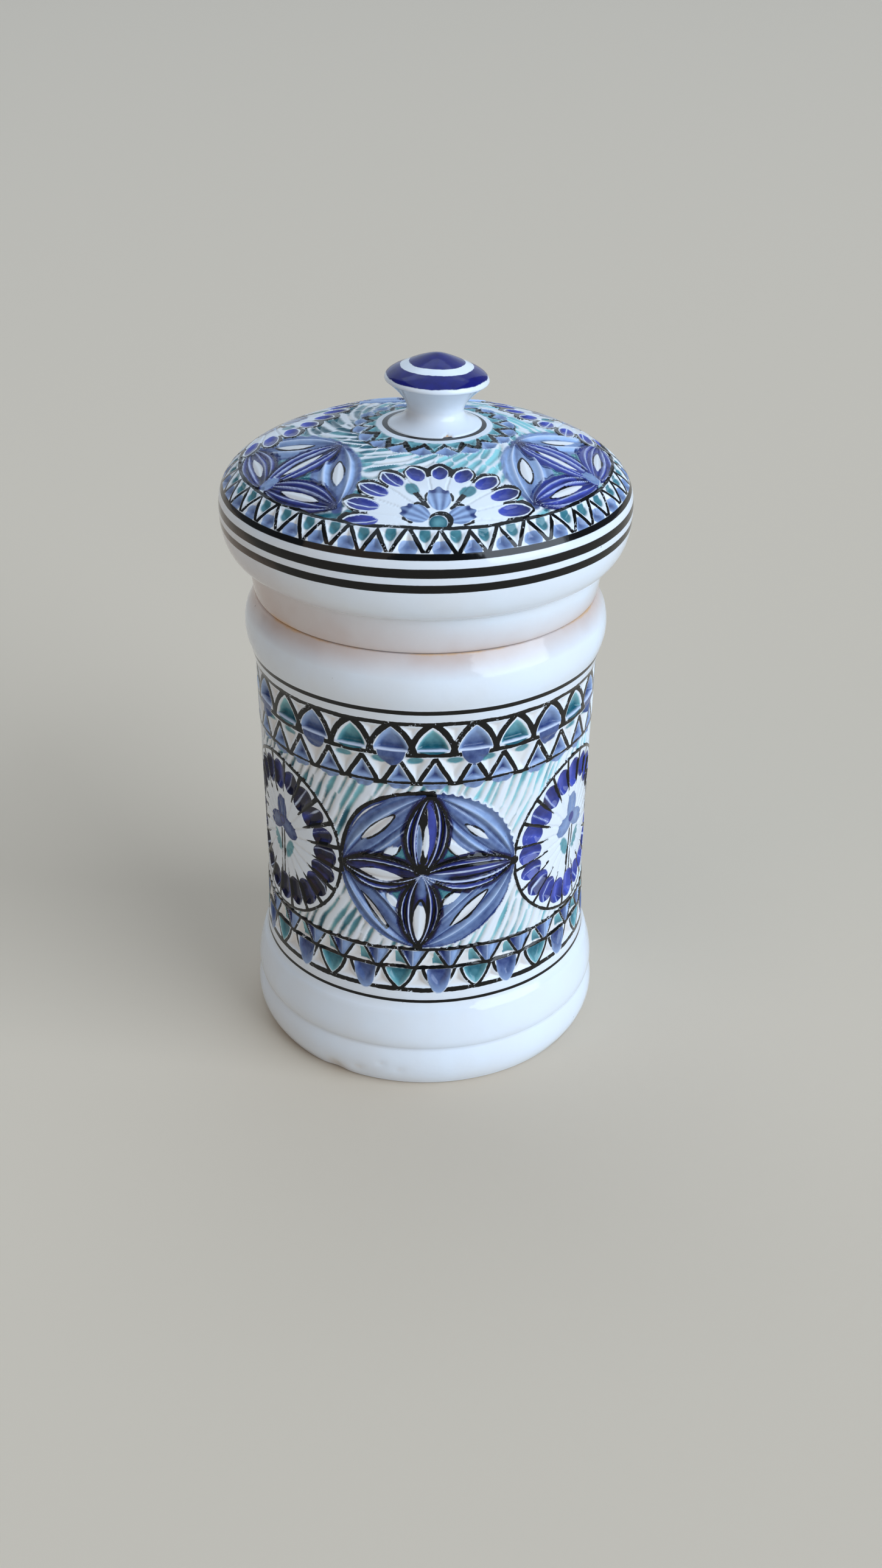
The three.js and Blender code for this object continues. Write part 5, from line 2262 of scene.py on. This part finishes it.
    def decorate_edge(self, skin: Skin) -> None:
        """Paints the borders, the zigzag band and the stripes.

        Args:
            skin: the surface.
        """
        below = skin.height - self.border_high
        skin.clear(below)
        path = self.dome_path(self.widest[0], self.dome_rise, *self.edge_walk)
        radii, heights = np.array(path).T
        travel = travelled(radii, heights)
        up = np.interp(skin.height, heights, travel)
        low = np.interp(self.border_low[0] + self.border_low[1] / 2, heights, travel)
        high = np.interp(self.border_high, heights, travel)
        ZigzagBand().carve(skin, np.where(below < 0, up - low, FAR * 2), high - low - self.border_line / 2)
        skin.ink(contour(up, high, self.border_line / 2))
        for height, width in (self.border_low, *self.stripes):
            skin.band(height, width)

    def build(self, glaze: TinGlaze) -> bpy.types.Object:
        """Makes the lid and sets it in the frame.

        Args:
            glaze: its finish.

        Returns:
            The new object.
        """
        turned_skin = TurnedSkin(self.outline(), self.seed)
        self.decorate(turned_skin.skin)
        piece = turned_skin.build("lid_shell", glaze.material("tin_glazed_lid"))
        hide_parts("lid")
        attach(piece, "cover")
        return piece


@dataclass
class Knob:
    """The mushroom knob: flared foot, waisted stem, domed cap with a cobalt spot and band."""

    base_radius: float = 15.4
    base_edge: float = 0.7
    neck_radius: float = 9.3
    neck_height: float = 5.9
    stem_height: float = 14.9
    flare: Point = (0.4, 3.5)
    cap_radius: float = 17.1
    cap_edge: float = 0.5
    cap_shoulder: Point = (4.7, 4.0)
    cap_rise: float = 8.4
    cap_lip: float = 0.2
    crown: Point = (3.2, 0.0)
    crown_hole: float = 0.01
    plain: Weave = Weave(3.0, 200)
    fine: Weave = Weave(0.5, 200, True)
    spot: float = 9.1
    white_ring: float = 11.8
    band_foot: float = 1.8
    charge: float = 0.58
    cobalt: tuple[str, str] = ("#1D2399", "#05041F")
    lean: float = 0.04
    lean_start: float = 6.0
    chip_bearing: float = 17.6
    chip_half: float = 2.0
    chip_rise: float = 1.3
    chip_depth: float = 0.5
    chip_bareness: float = 1.0
    seed: int = 37

    def outline(self, foot: float) -> Outline:
        """Draws the profile from the foot to the crown.

        Args:
            foot: height of the knob's foot.

        Returns:
            The profile.
        """
        neck, stem = foot + self.neck_height, foot + self.stem_height
        cap = stem + self.cap_edge
        top = cap + self.cap_rise
        line = Outline()
        line.start(0, foot, self.plain)
        line.line(self.base_radius, foot, self.plain)
        line.line(self.base_radius, foot + self.base_edge, self.fine)
        line.bend((self.neck_radius, foot + self.neck_height / 2), (self.neck_radius, neck), self.fine)
        flare = (self.neck_radius + self.flare[0], neck + self.flare[1])
        line.bend(flare, (self.cap_radius - self.cap_edge, stem), self.fine)
        line.bend((self.cap_radius, stem + self.cap_lip), (self.cap_radius, cap), self.fine)
        run, rise = self.cap_shoulder
        line.bend((self.cap_radius, cap + rise / 2), (self.cap_radius - run, cap + rise), self.fine)
        line.bend((self.crown[0], top - self.crown[1]), (self.crown_hole, top), self.fine)
        line.line(0, top, self.plain)
        return line

    def decorate(self, skin: Skin, centre: Point, foot: float) -> None:
        """Paints the cap and chips the foot.

        Args:
            skin: the surface.
            centre: the knob's axis in plan.
            foot: height of its foot.
        """
        x, y = skin.hand[:, 0] - centre[0], centre[1] - skin.hand[:, 1]
        reach = np.hypot(x, y)
        below = foot + self.stem_height + self.band_foot - skin.height
        skin.lay(Pigment.COBALT, meet(reach - self.spot, below), self.charge)
        skin.lay(Pigment.COBALT, meet(self.white_ring - reach, below), self.charge)
        off = (np.arctan2(x, y) - math.radians(self.chip_bearing)) * self.base_radius
        chip = oval(off, skin.level - foot, self.chip_half, self.chip_rise)
        skin.clay = np.where(chip < 0, chip - self.chip_bareness, UNSTAINED_UNSHADED)
        skin.sink(self.chip_depth, chip)

    def tip(self, place: Array, centre: Point, foot: float) -> None:
        """Leans the stem and the cap a little to the right, as they were thrown.

        Args:
            place: the knob's points, which are moved.
            centre: the knob's axis in plan.
            foot: height of its foot.
        """
        across, up = place[:, 0] - centre[0], place[:, 2] - foot
        place[:, 0] += self.lean * up
        place[:, 2] -= self.lean * across * ease(0, self.lean_start, up)

    def build(self, glaze: TinGlaze) -> bpy.types.Object:
        """Makes the knob and sets it in the frame.

        Args:
            glaze: its finish, which takes the knob's own cobalt.

        Returns:
            The new object.
        """
        low, high = (np.array(corner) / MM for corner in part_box("lid_knob"))
        centre = (float(low[0] + high[0]) / 2, float(low[1] + high[1]) / 2)
        foot = float(low[2])
        turned_skin = TurnedSkin(self.outline(foot), self.seed, centre)
        self.decorate(turned_skin.skin, centre, foot)
        self.tip(turned_skin.place, centre, foot)
        material = replace(glaze, cobalt=self.cobalt).material("tin_glazed_knob")
        piece = turned_skin.build("knob_shell", material)
        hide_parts("lid_knob")
        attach(piece, "cover")
        return piece


# Stage


@dataclass(frozen=True)
class Lamp:
    """One soft square lamp, as seen from the jar: how far off it stands and how wide it is in metres."""

    name: str
    bearing: float
    rise: float
    distance: float
    side: float
    power: float
    colour: str
    aim: float

    def build(self) -> None:
        """Hangs the lamp and turns it to the jar's axis."""
        light = bpy.data.lights.new(self.name, "AREA")
        light.size = self.side
        light.energy = self.power
        light.color = linear(self.colour)[:3]
        turn, lift = math.radians(self.bearing), math.radians(self.rise)
        back = np.array([math.sin(turn) * math.cos(lift), -math.cos(turn) * math.cos(lift), math.sin(lift)])
        side = np.array([math.cos(turn), math.sin(turn), 0.0])
        axes = np.stack([side, np.cross(back, side), back], axis=1)
        place = back * self.distance + [0, 0, self.aim]
        holder = bpy.data.objects.new(self.name, light)
        holder.matrix_world = Matrix.Translation(place.tolist()) @ Matrix(axes.tolist()).to_4x4()
        bpy.context.collection.objects.link(holder)


@dataclass
class Studio:
    """Pale floor, soft daylight from the right, and the camera."""

    camera_place: Trio = (0.00564, -0.5905, 0.4193)
    pitch: float = 0.5101
    roll: float = 0.0074
    focal_length: float = 42.93
    sensor: float = 36.0
    sight: float = 200.0
    floor_half: float = 60.0
    floor_colour: str = "#D4C6B4"
    floor_roughness: float = 0.7
    sky_colour: str = "#DCE8F4"
    sky_strength: float = 0.22
    lamps: tuple[Lamp, ...] = (
        Lamp("window", 57.2, 24.0, 11.5, 10.0, 1570.0, "#E0EFFF", 0.13),
        Lamp("room", -45.0, 20.7, 13.8, 12.0, 265.0, "#FFE0C4", 0.12),
        Lamp("wall", -171.3, 31.3, 15.5, 20.0, 780.0, "#DDEBFA", 0.2),
        Lamp("ceiling", 180.0, 86.2, 15.0, 19.0, 1020.0, "#D8ECFC", 0.2))

    def build(self) -> None:
        """Makes the whole stage."""
        self.add_floor()
        self.add_sky()
        for lamp in self.lamps:
            lamp.build()
        self.add_camera()

    def add_floor(self) -> None:
        """Makes the floor at the jar's foot."""
        half = self.floor_half
        corners = [(-half, -half, 0), (half, -half, 0), (half, half, 0), (-half, half, 0)]
        mesh = bpy.data.meshes.new("floor")
        mesh.from_pydata(corners, [], [(0, 1, 2, 3)])
        material = bpy.data.materials.new("matt_paint")
        material.use_nodes = True
        shader = material.node_tree.nodes["Principled BSDF"]
        shader.inputs["Base Color"].default_value = linear(self.floor_colour)
        shader.inputs["Roughness"].default_value = self.floor_roughness
        mesh.materials.append(material)
        floor = bpy.data.objects.new("floor", mesh)
        bpy.context.collection.objects.link(floor)

    def add_sky(self) -> None:
        """Lights the scene evenly from all round."""
        world = bpy.data.worlds.new("soft_sky")
        world.use_nodes = True
        sky = world.node_tree.nodes["Background"]
        sky.inputs["Color"].default_value = linear(self.sky_colour)
        sky.inputs["Strength"].default_value = self.sky_strength
        bpy.context.scene.world = world

    def add_camera(self) -> None:
        """Puts the camera at the photograph's viewing angle."""
        camera = bpy.data.cameras.new("camera")
        camera.sensor_fit = "VERTICAL"
        camera.sensor_height = self.sensor
        camera.lens = self.focal_length
        camera.clip_end = self.sight
        right = np.array([1.0, 0.0, 0.0])
        up = np.array([0.0, math.sin(self.pitch), math.cos(self.pitch)])
        back = np.array([0.0, -math.cos(self.pitch), math.sin(self.pitch)])
        c, s = math.cos(self.roll), math.sin(self.roll)
        axes = np.stack([c * right + s * up, c * up - s * right, back], axis=1)
        holder = bpy.data.objects.new("camera", camera)
        holder.matrix_world = Matrix.Translation(self.camera_place) @ Matrix(axes.tolist()).to_4x4()
        bpy.context.collection.objects.link(holder)
        bpy.context.scene.camera = holder


def main() -> None:
    """Builds the pot around the frame."""
    logging.basicConfig(level=logging.INFO, format="%(name)s: %(message)s")
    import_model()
    glaze = TinGlaze()
    jar = Jar()
    for part in (jar, Lid(jar), Knob()):
        piece = part.build(glaze)
        log.info("made %s", piece.name)
    Studio().build()
    bpy.context.scene.view_settings.view_transform = "Standard"


if __name__ == "__main__":
    main()
